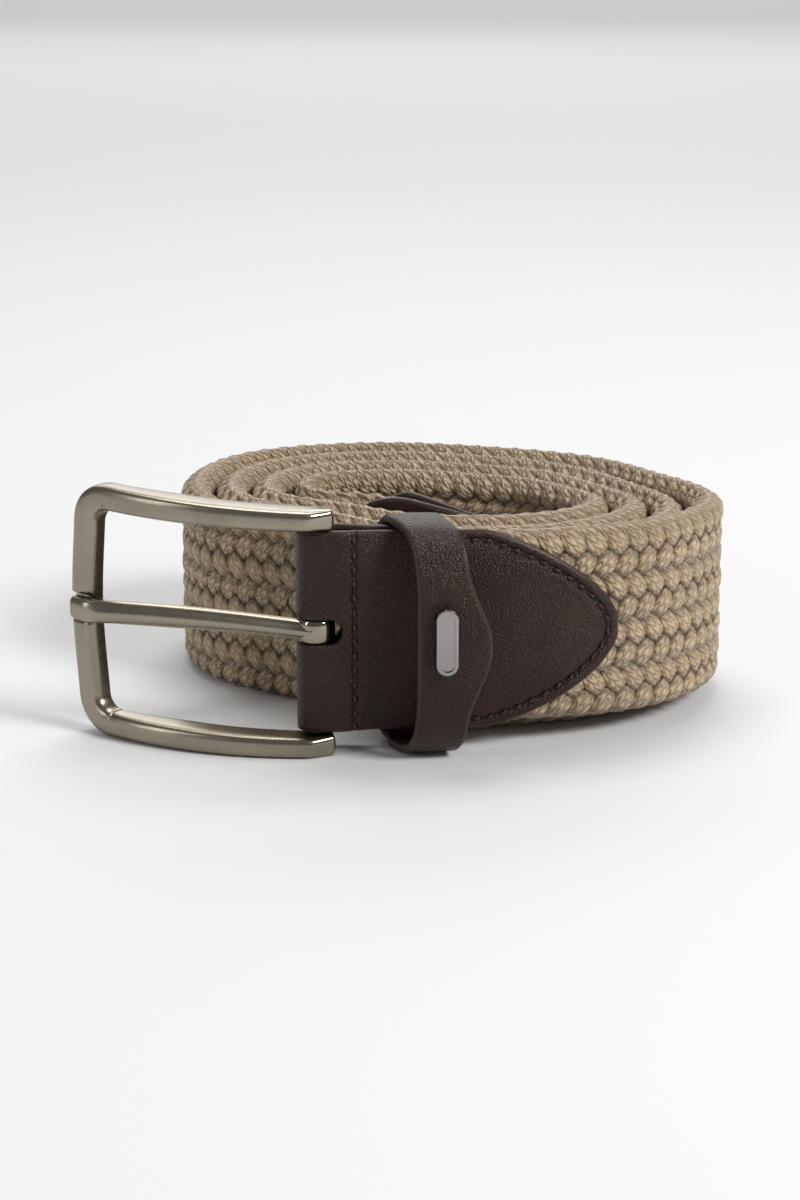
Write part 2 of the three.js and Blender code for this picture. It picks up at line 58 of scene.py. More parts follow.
heelPlace = np.array(next(j for j in frame["record"]["behaviour"]["joints"] if j["name"] == "frame_swing")["pos_m"])
partShift = np.array([heelPlace[0] / mm - strap["heelX"], heelPlace[1] / mm - strap["heelY"], 0.0])


def smooth(value):
    # three times the square less twice the cube, held between nothing and one
    held = np.clip(value, 0, 1)
    return held * held * (3 - 2 * held)


def outlineReach(angle):
    # smooth closed curve through the outline's rows, 30 degrees apart from -45
    rows = np.array(strap["outline"])
    place = ((angle + 45) / 360 % 1) * len(rows)
    row = np.floor(place).astype(int)
    t = place - row
    before, here, after, further = (rows[(row + step) % len(rows)] for step in (-1, 0, 1, 2))
    slopeHere, slopeNext, rise = (after - before) / 2, (further - here) / 2, after - here
    return (here + slopeHere * t + (3 * rise - 2 * slopeHere - slopeNext) * t ** 2
            + (slopeHere + slopeNext - 2 * rise) * t ** 3)


def outerFace(turns):
    # an ellipse shaped by the outline, drawn in by one pitch a turn and a little more at the inner end
    angle = strap["joinAngle"] + 360 * turns
    reach = 1 + (outlineReach(angle) - 1) * (1 - strap["evening"] * turns / strap["turns"])
    inset = strap["tailInset"] * smooth((turns - strap["turns"] + strap["tailInsetTurns"]) / strap["tailInsetTurns"])
    across = strap["halfWidth"] * reach - strap["sidePitch"] * turns - inset
    deep = strap["halfDepth"] * reach - strap["frontPitch"] * turns - inset
    return np.stack([strap["coilX"] + across * np.cos(np.radians(angle)),
                     strap["coilY"] + deep * np.sin(np.radians(angle))], -1)


def unit(vectors):
    return vectors / np.maximum(np.linalg.norm(vectors, axis=-1, keepdims=True), 1e-9)


def coilCentreline(turns):
    # half the strap's thickness inside the outer face
    along = unit(outerFace(turns + 0.002) - outerFace(turns - 0.002))
    half = strap["braidThickness"] / 2
    return outerFace(turns) + half * np.stack([-along[..., 1], along[..., 0]], -1)


def planPath():
    # straight out of the heel, a cubic curve onto the coil, then round it; kept with the distance travelled
    heel = np.array([strap["heelX"], strap["heelY"]])
    lead = np.array([math.cos(math.radians(strap["leadAngle"])), math.sin(math.radians(strap["leadAngle"]))])
    turns = (strap["turns"] + strap["tailRoom"]) * np.arange(2401) / 2400
    coil = coilCentreline(turns)
    onward = unit(coilCentreline(np.array([0.004]))[0] - coil[0])
    handles = [heel, heel + lead * strap["leadHandle"], coil[0] - onward * strap["joinHandle"], coil[0]]
    t = np.linspace(0, 1, 241)[:, None]
    curve = (handles[0] * (1 - t) ** 3 + handles[1] * 3 * t * (1 - t) ** 2
             + handles[2] * 3 * t ** 2 * (1 - t) + handles[3] * t ** 3)
    points = np.vstack([heel - lead * strap["heelStart"], curve, coil[1:]])
    travel = np.r_[0, np.cumsum(np.linalg.norm(np.diff(points, axis=0), axis=1))]
    return points, travel, float(np.interp(strap["turns"], turns, travel[241:]))


pathPoints, pathTravel, tailStart = planPath()
tabEnd = strap["heelStart"] + strap["tabLength"]
braidEnd = tailStart + strap["tailBraid"]


def pathPoint(distance):
    return np.stack([np.interp(distance, pathTravel, pathPoints[:, k]) for k in (0, 1)], -1)


def pathAt(distance):
    # place, direction and outward normal at a distance along the strap
    along = unit(pathPoint(distance + 0.4) - pathPoint(distance - 0.4))
    return pathPoint(distance), along, np.stack([along[..., 1], -along[..., 0]], -1)


def middleHeight(distance):
    # lifted by the buckle at the heel, settling to the floor, level again at the tail
    overhang = (strap["leatherWidth"] - strap["braidWidth"]) / 2
    low = strap["restLift"] * smooth(1 - (distance - strap["heelStart"]) / strap["settleLength"])
    low = low - overhang * smooth((distance - strap["heelStart"]) / strap["settleLength"])
    low = low + overhang * smooth(1 - (tailStart - distance) / strap["pinchLength"])
    return low + strap["leatherWidth"] / 2


def braidThicknessAt(distance):
    fromTab = smooth((distance - (tabEnd - strap["pinchLength"])) / strap["pinchLength"])
    fromTail = smooth((tailStart - distance) / strap["pinchLength"])
    pinched = strap["pinchedThickness"]
    return pinched + (strap["braidThickness"] - pinched) * np.minimum(fromTab, fromTail)


def sheetOffset(distance):
    return braidThicknessAt(distance) / 2 + strap["layGap"] + strap["leatherWall"] / 2


def archHalf(fromTip, length, blunt=0.003):
    # pointed arch: half the leather's width times (1 - share to the fullness) to the bluntness
    share = np.clip(1 - fromTip / length, 0, 1 - blunt)
    return strap["leatherWidth"] / 2 * (1 - share ** strap["taperFullness"]) ** strap["taperBluntness"]


def ringFaces(rings, points, closedRing=True, closedRun=False, start=0):
    # quads between each ring and the next one
    r = np.arange(rings if closedRun else rings - 1)[:, None]
    c = np.arange(points if closedRing else points - 1)[None, :]
    rNext, cNext = (r + 1) % rings, (c + 1) % points
    quads = np.stack([r * points + c, rNext * points + c, rNext * points + cNext, r * points + cNext], -1)
    return quads.reshape(-1, 4) + start


def makeMesh(name, vertices, faces, body, finish, replaced=(), uv=None, marks=None):
    # vertices in millimetres of the source, faces as rows of indices; the part's shift is added here
    mesh = bpy.data.meshes.new(name)
    place = (np.asarray(vertices, float).reshape(-1, 3) + partShift) * mm
    faces = [np.asarray(f) for f in (faces if isinstance(faces, list) else [faces]) if len(f)]
    loops = np.concatenate([f.ravel() for f in faces]).astype(np.int32)
    totals = np.concatenate([np.full(len(f), f.shape[1]) for f in faces]).astype(np.int32)
    mesh.vertices.add(len(place))
    mesh.vertices.foreach_set("co", place.astype(np.float32).ravel())
    mesh.loops.add(len(loops))
    mesh.loops.foreach_set("vertex_index", loops)
    mesh.polygons.add(len(totals))
    mesh.polygons.foreach_set("loop_start", (np.cumsum(totals) - totals).astype(np.int32))
    mesh.polygons.foreach_set("loop_total", totals)
    mesh.polygons.foreach_set("use_smooth", np.ones(len(totals), bool))
    mesh.update(calc_edges=True)
    if uv is not None:
        layer = mesh.uv_layers.new(name="UVMap")
        layer.data.foreach_set("uv", np.asarray(uv, np.float32)[loops].ravel())
    for label, values in (marks or {}).items():
        mesh.attributes.new(label, "FLOAT", "POINT").data.foreach_set("value", np.asarray(values, np.float32))
    mesh.validate()
    mesh.materials.append(finish)
    piece = bpy.data.objects.new(name, mesh)
    bpy.context.collection.objects.link(piece)
    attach(piece, body)
    if replaced:
        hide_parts(*replaced)
    return piece


def turnOutward(mesh):
    shell = bmesh.new()
    shell.from_mesh(mesh)
    bmesh.ops.recalc_face_normals(shell, faces=shell.faces)
    shell.to_mesh(mesh)
    shell.free()


def addModifier(piece, kind, **values):
    modifier = piece.modifiers.new(kind.title(), kind)
    for key, value in values.items():
        setattr(modifier, key, value)
    return modifier


# Node helpers and shared shader groups
def newGroup(name, inputs, outputs):
    group = bpy.data.node_groups.new(name, "ShaderNodeTree")
    for label, value in inputs.items():
        socket = group.interface.new_socket(label, in_out="INPUT", socket_type="NodeSocketFloat")
        if value is not None:
            socket.default_value = value
    for label in outputs:
        group.interface.new_socket(label, in_out="OUTPUT", socket_type="NodeSocketFloat")
    return group, group.nodes.new("NodeGroupInput").outputs, group.nodes.new("NodeGroupOutput").inputs


def put(tree, value, socket):
    if isinstance(value, bpy.types.NodeSocket):
        tree.links.new(value, socket)
    elif value is not None:
        socket.default_value = value


def mathNode(tree, operation, first, second=None, third=None):
    node = tree.nodes.new("ShaderNodeMath")
    node.operation = operation
    for index, value in enumerate((first, second, third)):
        put(tree, value, node.inputs[index])
    return node.outputs[0]


def times(tree, first, second):
    return mathNode(tree, "MULTIPLY", first, second)


def timesPlus(tree, first, second, added):
    return mathNode(tree, "MULTIPLY_ADD", first, second, added)


def objectPlace(tree):
    return tree.nodes.new("ShaderNodeTexCoord").outputs["Object"]


def noiseNode(tree, vector, scale, detail=3, roughness=0.5):
    node = tree.nodes.new("ShaderNodeTexNoise")
    put(tree, vector, node.inputs["Vector"])
    put(tree, scale, node.inputs["Scale"])
    node.inputs["Detail"].default_value = detail
    node.inputs["Roughness"].default_value = roughness
    return node.outputs["Fac"]


def mixColour(tree, factor, first, second, blend="MIX"):
    node = tree.nodes.new("ShaderNodeMix")
    node.data_type = "RGBA"
    node.blend_type = blend
    put(tree, factor, node.inputs[0])
    put(tree, first, node.inputs[6])
    put(tree, second, node.inputs[7])
    return node.outputs[2]


def mapRange(tree, value, fromLow, fromHigh, toLow, toHigh):
    node = tree.nodes.new("ShaderNodeMapRange")
    for index, given in enumerate((value, fromLow, fromHigh, toLow, toHigh)):
        put(tree, given, node.inputs[index])
    return node.outputs[0]


def knitGroup():
    # each cord's V stitches: a wave along the cord, drawn back towards its sides, on a round cord
    group, source, target = newGroup("knittedCords", {
        "Along": None, "Across": None, "Wobble": None, "Stitch Length": 1.0, "Slant": 0.45}, ["Height", "Valley"])
    cord = mathNode(group, "FRACT", source["Across"])
    number = mathNode(group, "FLOOR", source["Across"])
    fromMiddle = mathNode(group, "ABSOLUTE", timesPlus(group, cord, 2.0, -1.0))
    steps = mathNode(group, "DIVIDE", source["Along"], source["Stitch Length"])
    drawn = timesPlus(group, fromMiddle, source["Slant"], steps)
    staggered = timesPlus(group, number, 0.37, drawn)
    wobbled = mathNode(group, "ADD", staggered, source["Wobble"])
    wave = mathNode(group, "SINE", times(group, wobbled, 2 * math.pi))
    stitch = timesPlus(group, wave, 0.5, 0.5)
    crowned = mathNode(group, "SUBTRACT", 1.0, mathNode(group, "POWER", fromMiddle, 2.5))
    height = times(group, mathNode(group, "POWER", stitch, 0.7), crowned)
    put(group, height, target["Height"])
    put(group, mathNode(group, "SUBTRACT", 1.0, height), target["Valley"])
    return group


def grainGroup():
    # leather pebbles: cell distance and fine noise, with larger soft unevenness
    group, source, target = newGroup("leatherGrain", {"Scale": 3000.0, "Unevenness": 140.0}, ["Height", "Patches"])
    place = objectPlace(group)
    cells = group.nodes.new("ShaderNodeTexVoronoi")
    cells.feature = "F1"
    put(group, place, cells.inputs["Vector"])
    put(group, source["Scale"], cells.inputs["Scale"])
    fine = noiseNode(group, place, times(group, source["Scale"], 1.7), 2)
    broad = noiseNode(group, place, source["Unevenness"], 3)
    pebble = mathNode(group, "SUBTRACT", 1.0, cells.outputs["Distance"])
    put(group, timesPlus(group, fine, 0.5, pebble), target["Height"])
    put(group, broad, target["Patches"])
    return group


def brushedGroup():
    # soft scratches: noise in thin layers, and broad smears
    group, source, target = newGroup("softScratches", {"Scale": 900.0, "Smears": 120.0}, ["Height", "Smear"])
    place = objectPlace(group)
    thin = group.nodes.new("ShaderNodeMapping")
    put(group, place, thin.inputs["Vector"])
    thin.inputs["Scale"].default_value = (0.35, 0.35, 2.2)
    put(group, noiseNode(group, thin.outputs[0], source["Scale"], 4, 0.6), target["Height"])
    put(group, noiseNode(group, place, source["Smears"], 2), target["Smear"])
    return group


knit = knitGroup()
grain = grainGroup()
scratches = brushedGroup()


def placeGroup(tree, group, **values):
    node = tree.nodes.new("ShaderNodeGroup")
    node.node_tree = group
    for key, value in values.items():
        put(tree, value, node.inputs[key])
    return node.outputs


def newMaterial(name, **plain):
    material = bpy.data.materials.new(name)
    material.use_nodes = True
    shader = material.node_tree.nodes["Principled BSDF"]
    for key, value in plain.items():
        shader.inputs[key.replace("_", " ")].default_value = value
    return material, material.node_tree, shader


def addBump(tree, shader, height, distance, strength=1.0):
    bump = tree.nodes.new("ShaderNodeBump")
    bump.inputs["Strength"].default_value = strength
    bump.inputs["Distance"].default_value = distance
    put(tree, height, bump.inputs["Height"])
    put(tree, bump.outputs[0], shader.inputs["Normal"])


def markNode(tree, label):
    node = tree.nodes.new("ShaderNodeAttribute")
    node.attribute_name = label
    return node.outputs["Fac"]


def cordMaterial():
    # light and mid are the cord's own tones; the deep colour and the two after it are painted shade for stitch
    # valleys, for the strands of one slant and for creases
    look = {"light": (0.72, 0.527, 0.32, 1), "mid": (0.56, 0.402, 0.236, 1), "deep": (0.14, 0.096, 0.058, 1),
            "slantShade": (0.46, 0.335, 0.205, 1),
            "creaseShade": (0.05, 0.032, 0.018, 1), "bump": 0.00052}
    material, tree, shader = newMaterial("braidCord", Roughness=0.7, Specular_IOR_Level=0.6,
                                         Sheen_Weight=0.2, Sheen_Roughness=0.5)
    uv = tree.nodes.new("ShaderNodeUVMap")
    uv.uv_map = "UVMap"
    split = tree.nodes.new("ShaderNodeSeparateXYZ")
    put(tree, uv.outputs[0], split.inputs[0])
    place = objectPlace(tree)
    uneven = noiseNode(tree, place, 520.0, 2)
    patches = noiseNode(tree, place, 90.0, 3)
    loops = markNode(tree, "loops")
    along = times(tree, split.outputs[0], 640.0)
    across = times(tree, split.outputs[1], 10.0)
    wobble = times(tree, uneven, 0.9)
    cords = placeGroup(tree, knit, Along=along, Across=across, Wobble=wobble)
    fluff = noiseNode(tree, place, 2600.0, 3, 0.7)
    raised = times(tree, cords["Height"], timesPlus(tree, loops, 0.4, 0.6))
    height = timesPlus(tree, fluff, 0.3, raised)
    tone = mixColour(tree, mapRange(tree, patches, 0.3, 0.7, 0.0, 1.0), look["light"], look["mid"])
    # painted shade: the valleys between the knitted stitches are darkened towards the deep colour, more on the loop
    # strands
    shade = times(tree, mathNode(tree, "POWER", cords["Valley"], 2.2),
                     timesPlus(tree, loops, 0.12, 0.5))
    # painted shade: the strands of the slant without loops are dulled towards a darker colour
    tone = mixColour(tree, timesPlus(tree, loops, -0.45, 0.45), tone, look["slantShade"])
    valleyShaded = mixColour(tree, shade, tone, look["deep"])
    # painted shade: where the strand stands little out of the band, in its creases, the colour is darkened towards
    # the crease shade colour
    creaseShade = mapRange(tree, markNode(tree, "shadeRelief"), 0.5, 0.96, 1.0, 0.0)
    put(tree, mixColour(tree, times(tree, creaseShade, 0.92), valleyShaded, look["creaseShade"]), shader.inputs["Base Color"])
    put(tree, mapRange(tree, cords["Height"], 0.0, 1.0, 0.8, 0.3), shader.inputs["Roughness"])
    addBump(tree, shader, height, look["bump"], 1.0)
    return material


def leatherMaterial(name, light, dark, edge, roughLow, roughHigh, bump):
    # pebbled grain, a pressed line under the stitches with painted shade in its groove, and a less glossy painted rim
    # whose lighter colour is edge paint and a painted highlight
    material, tree, shader = newMaterial(name, Specular_IOR_Level=0.4, Specular_Tint=(1, 0.86, 0.78, 1))
    pebbles = placeGroup(tree, grain)
    colour = mixColour(tree, mapRange(tree, pebbles["Patches"], 0.35, 0.65, 0.0, 1.0), dark, light)
    specks = mapRange(tree, pebbles["Height"], 0.55, 1.2, 0.7, 1.1)
    colour = mixColour(tree, 1.0, colour, specks, "MULTIPLY")
    # painted shade: along the stitch line the leather is darkened nearly to black, in its pressed groove and stitch
    # holes
    grooveShade = mapRange(tree, markNode(tree, "seam"), 0.3, 0.75, 0.92, 0.0)
    colour = mixColour(tree, grooveShade, colour, (0.0022, 0.0012, 0.001, 1))
    # the rims are mixed towards the lighter edge colour: partly the edge paint, partly a painted highlight along the
    # edges
    onRim = mapRange(tree, markNode(tree, "rim"), 0.0, 0.35, 1.0, 0.0)
    colour = mixColour(tree, onRim, colour, edge)
    put(tree, colour, shader.inputs["Base Color"])
    grained = mapRange(tree, pebbles["Height"], 0.6, 1.2, roughHigh, roughLow)
    put(tree, timesPlus(tree, onRim, 0.12, grained), shader.inputs["Roughness"])
    pressed = mathNode(tree, "MINIMUM", times(tree, markNode(tree, "seam"), 1.8), 1.0)
    pressed = times(tree, pressed, 1.6)
    flat = mathNode(tree, "SUBTRACT", 1.0, onRim)
    height = timesPlus(tree, times(tree, pebbles["Height"], flat), 1.0, pressed)
    addBump(tree, shader, height, bump, 0.85)
    return material


def metalMaterial(name, colour, roughLow, roughHigh, polished, bump):
    # softly brushed, with polished places where the piece's own mark says so
    material, tree, shader = newMaterial(name, Metallic=1.0)
    marks = placeGroup(tree, scratches)
    darker = tuple(c * 0.86 for c in colour[:3]) + (1,)
    smeared = mapRange(tree, marks["Smear"], 0.35, 0.65, 0.0, 1.0)
    put(tree, mixColour(tree, smeared, darker, colour), shader.inputs["Base Color"])
    satin = mapRange(tree, marks["Height"], 0.3, 0.7, roughLow, roughHigh)
    shine = markNode(tree, "polish")
    keep = mathNode(tree, "SUBTRACT", 1.0, shine)
    rough = timesPlus(tree, satin, keep, times(tree, shine, polished))
    put(tree, rough, shader.inputs["Roughness"])
    addBump(tree, shader, times(tree, marks["Height"], keep), bump, 0.5)
    return material


def threadMaterial():
    material, tree, shader = newMaterial("waxedThread", Specular_IOR_Level=0.3)
    place = objectPlace(tree)
    twist = noiseNode(tree, place, 2400.0, 2)
    put(tree, mixColour(tree, twist, (0.01, 0.0044, 0.003, 1), (0.085, 0.036, 0.023, 1)), shader.inputs["Base Color"])
    put(tree, mapRange(tree, twist, 0.3, 0.7, 0.35, 0.65), shader.inputs["Roughness"])
    addBump(tree, shader, twist, 0.0001)
    return material


finishes = {
    "cord": cordMaterial(),
    # the third leather colour is the lighter rim colour, edge paint with a painted highlight
    "leather": leatherMaterial("darkLeather", (0.028, 0.0098, 0.0064, 1), (0.017, 0.006, 0.0041, 1),
                               (0.034, 0.02, 0.016, 1), 0.19, 0.36, 0.00019),
    "satin": metalMaterial("satinNickel", (0.32, 0.283, 0.222, 1), 0.26, 0.31, 0.05, 0.000001),
    "bright": metalMaterial("brightSilver", (0.34, 0.335, 0.325, 1), 0.1, 0.18, 0.08, 0.000004),
    "thread": threadMaterial(),
}
print("finishes made")

# The braid: strands that cross the band at a slant, two over and two under, and wrap round its edges
braid = {"strands": 17, "crossing": 15.9, "strandWidth": 3.75, "strandThick": 2.8, "depth": 1.6, "ring": 0.82,
         "turnSharpness": 0.985, "spacing": 3.95, "cordDip": 0.13, "profile": 18, "perPiece": 3, "inward": 0.45,
         "roundness": 2.3, "waveFlatness": 1.2, "endMargin": 1.6, "fullDepth": 2.95,
         "edgeFrom": 13.0, "edgeOver": 3.0,
         "thinOver": 21, "thinBy": 0.85, "pinchedShare": 0.68, "pathPerTravel": 1.47, "turnShare": 0.3,
         "drifts": [(0.22, 23.0, 1.7), (0.18, 9.1, 2.9)], "driftPhase": 0.02, "driftWidth": 0.05, "cordStagger": 0.41,
         "unevenDepth": 0.06, "edgeShadeRelief": 0.8, "leastNarrow": 0.15,
         "coreHalf": 0.6, "coreTall": 14.2, "coreStations": 900}


def tipClosing(distance):
    # the braid thins out inside the leather tip, and the leather closes over it
    return smooth((distance - braidEnd + braid["thinOver"]) / (braid["thinOver"] + 2))


def looseness(pinch):
    # nothing where the leather pinches the braid, one where it is full
    return (pinch - braid["pinchedShare"]) / (1 - braid["pinchedShare"])


def signedPower(value, power):
    return np.sign(value) * np.abs(value) ** power


def strandProfile():
    # three cords side by side on each face of a flattened round strand, as shares of half its width and thickness
    turn = 2 * np.pi * np.arange(braid["profile"]) / braid["profile"]
    power = 2 / braid["roundness"]
    across, rise = signedPower(np.cos(turn), power), signedPower(np.sin(turn), power)
    cords = 3 * (1 - across) / 2
    cords = np.where(rise >= 0, cords, 6 - cords)
    lobe = 1 - braid["cordDip"] * np.abs(np.cos(np.pi * cords)) ** 2 * (np.abs(across) < 0.8)
    return across, rise * lobe, cords


def braidStrand(number, low, high):
    # a slanted zigzag across the band, whose depth is a soft wave of the even zigzag under it: two over, two under
    period = braid["strands"] * braid["spacing"]
    band = braid["crossing"] / (braid["strands"] / 4)
    count = int((high - low) * braid["pathPerTravel"] / braid["ring"])
    s = np.linspace(low, high, count)
    drift = sum(size * np.sin(s / length + number * step) for size, length, step in braid["drifts"])
    phase = 2 * np.pi * (s / period + number / braid["strands"]) + braid["driftPhase"] * drift
    sharp = braid["turnSharpness"]
    w = braid["crossing"] * np.arcsin(sharp * np.sin(phase)) / math.asin(sharp)
    heading = np.clip(np.cos(phase) / braid["turnShare"], -1, 1)
    heading = 1.5 * heading - 0.5 * heading ** 3
    even = braid["crossing"] * np.arcsin(np.sin(phase)) * 2 / np.pi
    wave = np.where(np.abs(even) < 4 * band, np.sin(np.pi * (even + 4 * band) / band), 0)
    wave = np.tanh(braid["waveFlatness"] * wave) / math.tanh(braid["waveFlatness"])
    pinch = braidThicknessAt(s) / strap["braidThickness"]
    loose = looseness(pinch)
    pinch = pinch * (1 - braid["thinBy"] * tipClosing(s))
    uneven = 1 + braid["unevenDepth"] * np.sin(s * 0.9 + number * 4.1)
    depth = heading * wave * braid["depth"] * pinch * uneven - braid["inward"] * loose
    narrow = np.clip((archHalf(tailStart + strap["tailLength"] - s, strap["tailTaper"]) - braid["endMargin"])
                     / braid["crossing"], braid["leastNarrow"], 1)
    place, out = pathAt(s)[::2]
    up = np.zeros((count, 3))
    up[:, 2] = 1
    out3 = np.c_[out, np.zeros(count)]
    centre = np.c_[place, middleHeight(s)] + out3 * depth[:, None] + up * (w * narrow)[:, None]
    tangent = unit(np.gradient(centre, axis=0))
    roll = np.pi / 2 * (1 + heading)
    normal = out3 * np.cos(roll)[:, None] + up * np.sin(roll)[:, None]
    side = unit(np.cross(tangent, normal))
    normal = unit(np.cross(side, tangent))
    turning = 1 - np.abs(heading)
    swell = 0.84 + 0.16 * np.abs(wave) - 0.1 * turning
    width = braid["strandWidth"] / 2 * swell * (1 + braid["driftWidth"] * drift)
    thick = braid["strandThick"] / 2 * pinch * (0.85 + 0.15 * np.abs(wave) - 0.12 * turning)
    across, rise, cords = strandProfile()
    ring = (centre[:, None, :] + side[:, None, :] * (across[None, :] * width[:, None])[..., None]
            + normal[:, None, :] * (rise[None, :] * thick[:, None])[..., None])
    length = np.r_[0, np.cumsum(np.linalg.norm(np.diff(centre, axis=0), axis=1))]
    uv = np.stack([np.broadcast_to((length[:, None] + number * braid["cordStagger"]) * mm, (count, len(across))),
                   np.broadcast_to(cords[None, :] * 0.1, (count, len(across)))], -1)
    # relief for the painted crease shade: how far a point stands from the band's middle plane, or out at its edges,
    # and near nothing in creases
    offset = np.einsum("ijk,ik->ij", ring - np.c_[place, np.zeros(count)][:, None, :], out3)
    offset = offset + (braid["inward"] * loose)[:, None]
    fromMiddle = np.abs(ring[..., 2] - middleHeight(s)[:, None])
    shadeRelief = np.maximum(np.abs(offset) / (braid["fullDepth"] * pinch)[:, None],
                        smooth((fromMiddle - braid["edgeFrom"]) / braid["edgeOver"]) * braid["edgeShadeRelief"])
    loops = np.broadcast_to(smooth((heading + 0.4) / 0.8)[:, None], shadeRelief.shape)
    return ring, uv, shadeRelief, loops


def makeBraid():
    low, high = strap["heelStart"] + 6.5, braidEnd - 0.5
    perPiece = braid["perPiece"]
    for first in range(0, braid["strands"], perPiece):
        vertices, uvs, shadeReliefs, loops, faces, caps, start = [], [], [], [], [], [], 0
        for number in range(first, min(first + perPiece, braid["strands"])):
            ring, uv, shadeRelief, loop = braidStrand(number, low, high)
            count, points = ring.shape[:2]
            vertices.append(ring.reshape(-1, 3))
            uvs.append(uv.reshape(-1, 2))
            shadeReliefs.append(shadeRelief.ravel())
            loops.append(loop.ravel())
            faces.append(ringFaces(count, points, start=start))
            caps.append(np.arange(points)[::-1][None, :] + start)
            caps.append(np.arange(points)[None, :] + start + (count - 1) * points)
            start += count * points
        piece = makeMesh(f"braidStrands{first // perPiece + 1}", np.vstack(vertices),
                         [np.vstack(faces), np.vstack(caps)],
                         "strap", finishes["cord"], ["braid_strap"], np.vstack(uvs),
                         {"shadeRelief": np.concatenate(shadeReliefs), "loops": np.concatenate(loops)})
        turnOutward(piece.data)
        print(piece.name, "triangles", 2 * sum(len(f) for f in faces))


def makeShadeCore():
    # a thin band in the braid's middle plane, with its relief left at nothing so that it takes the painted crease
    # shade colour and shows painted shade in the gaps between strands
    s = np.linspace(strap["heelStart"] + 7, braidEnd - 6, braid["coreStations"])
    place, out = pathAt(s)[::2]
    pinch = braidThicknessAt(s) / strap["braidThickness"]
    offset = -braid["inward"] * looseness(pinch)
    half, tall = braid["coreHalf"] * pinch * (1 - braid["thinBy"] * tipClosing(s)), braid["coreTall"]
    narrow = np.clip((archHalf(tailStart + strap["tailLength"] - s, strap["tailTaper"]) - 3) / tall, 0.1, 1)
    corners = [(1, -1), (1, 1), (-1, 1), (-1, -1)]
    rings = np.stack([np.c_[place + out * (offset + side * half)[:, None], middleHeight(s) + rise * tall * narrow]
                      for side, rise in corners], 1)
    vertices, faces = lofted(rings)
    piece = makeMesh("braidShadeCore", vertices, faces, "strap", finishes["cord"], ["braid_strap"],
                     np.zeros((len(vertices), 2)), dict.fromkeys(("shadeRelief", "loops"), np.zeros(len(vertices))))
    turnOutward(piece.data)


def lofted(rings):
    # quads between rings, and a face over each end
    count, points = rings.shape[:2]
    caps = np.stack([np.arange(points)[::-1], np.arange(points) + (count - 1) * points])
    return rings.reshape(-1, 3), [ringFaces(count, points), caps]


makeBraid()
makeShadeCore()
print("braid made")


def surfaceNormals(points, quads):
    # each vertex takes the sum of its faces' diagonals' cross products
    corner = points[quads]
    faceNormal = np.cross(corner[:, 2] - corner[:, 0], corner[:, 3] - corner[:, 1])
    total = np.zeros_like(points)
    for k in range(4):
        np.add.at(total, quads[:, k], faceNormal)
    return unit(total)


def thickSheet(points, quads, wall, rim, steps, marks):
    # closed shell below an outer surface: the surface, its copy one wall inside, and half-round rims between them
    used = np.unique(quads)
    renumber = np.full(len(points), -1)
    renumber[used] = np.arange(len(used))
    points, quads = points[used], renumber[quads]
    marks = {label: values[used] for label, values in marks.items()}
    normal = surfaceNormals(points, quads)
    count = len(points)
    edges = np.vstack([quads[:, [k, (k + 1) % 4]] for k in range(4)])
    forward = edges[:, 0].astype(np.int64) * count + edges[:, 1]
    backward = edges[:, 1].astype(np.int64) * count + edges[:, 0]
    border = edges[~np.isin(forward, backward)]
    away = np.cross(points[border[:, 1]] - points[border[:, 0]], normal[border[:, 0]])
    outward = np.zeros_like(points)
    np.add.at(outward, border[:, 0], away)
    np.add.at(outward, border[:, 1], away)
    onBorder = np.unique(border)
    outward = unit(outward[onBorder])
    angle = np.pi * np.arange(1, steps) / steps
    arcs = (points[onBorder][None] - normal[onBorder][None] * (wall / 2 * (1 - np.cos(angle)))[:, None, None]
            + outward[None] * (rim * np.sin(angle))[:, None, None])
    arcNumber = np.full(count, -1)
    arcNumber[onBorder] = np.arange(len(onBorder))
    rows = [arcNumber[border] + 2 * count + step * len(onBorder) for step in range(steps - 1)]
    rows = [border] + rows + [border + count]
    rims = [np.stack([a[:, 1], a[:, 0], b[:, 0], b[:, 1]], -1) for a, b in zip(rows[:-1], rows[1:])]
    vertices = np.vstack([points, points - normal * wall, arcs.reshape(-1, 3)])
    faces = np.vstack([quads, quads[:, ::-1] + count] + rims)
    full = {label: np.r_[values, values, np.tile(values[onBorder], steps - 1)] for label, values in marks.items()}
    return vertices, faces, full


def nearest(places, line):
    # distance from each place to the nearest point of a line of points
    return np.min(np.linalg.norm(places[:, None, :] - line[None, :, :], axis=-1), axis=1)


leather = {"wall": strap["leatherWall"],
           "rim": 0.42, "rimSteps": 6, "frontRows": 110, "backRows": 90, "foldRows": 16, "slotRows": 9,
           "slotHalf": 2.1, "slotReach": 4.25, "slotColumns": 8, "sideColumns": 34, "slotBlend": 3.0,
           "stitchInset": 1.85, "seamPlace": 6.3, "stitchFrom": 25.0, "pitch": 2.5, "stitchLength": 1.4,
           "stitchRadius": 0.34, "slant": 0.24, "grooveDepth": 0.24, "grooveWidth": 0.55, "foldRadius": 2.65,
           "tipRows": 120, "tipColumns": 64, "tipFold": 0.8, "crown": 1.1, "crownPower": 5, "stitchRise": 0.1,
           "stitchSink": 0.3, "leastTall": 0.3, "warpTo": 0.45, "farFromSeam": 9.0, "seamStep": 0.3}


def easedRun(low, high, count):
    return low + (high - low) * (1 - np.cos(np.pi * np.arange(count) / count)) / 2


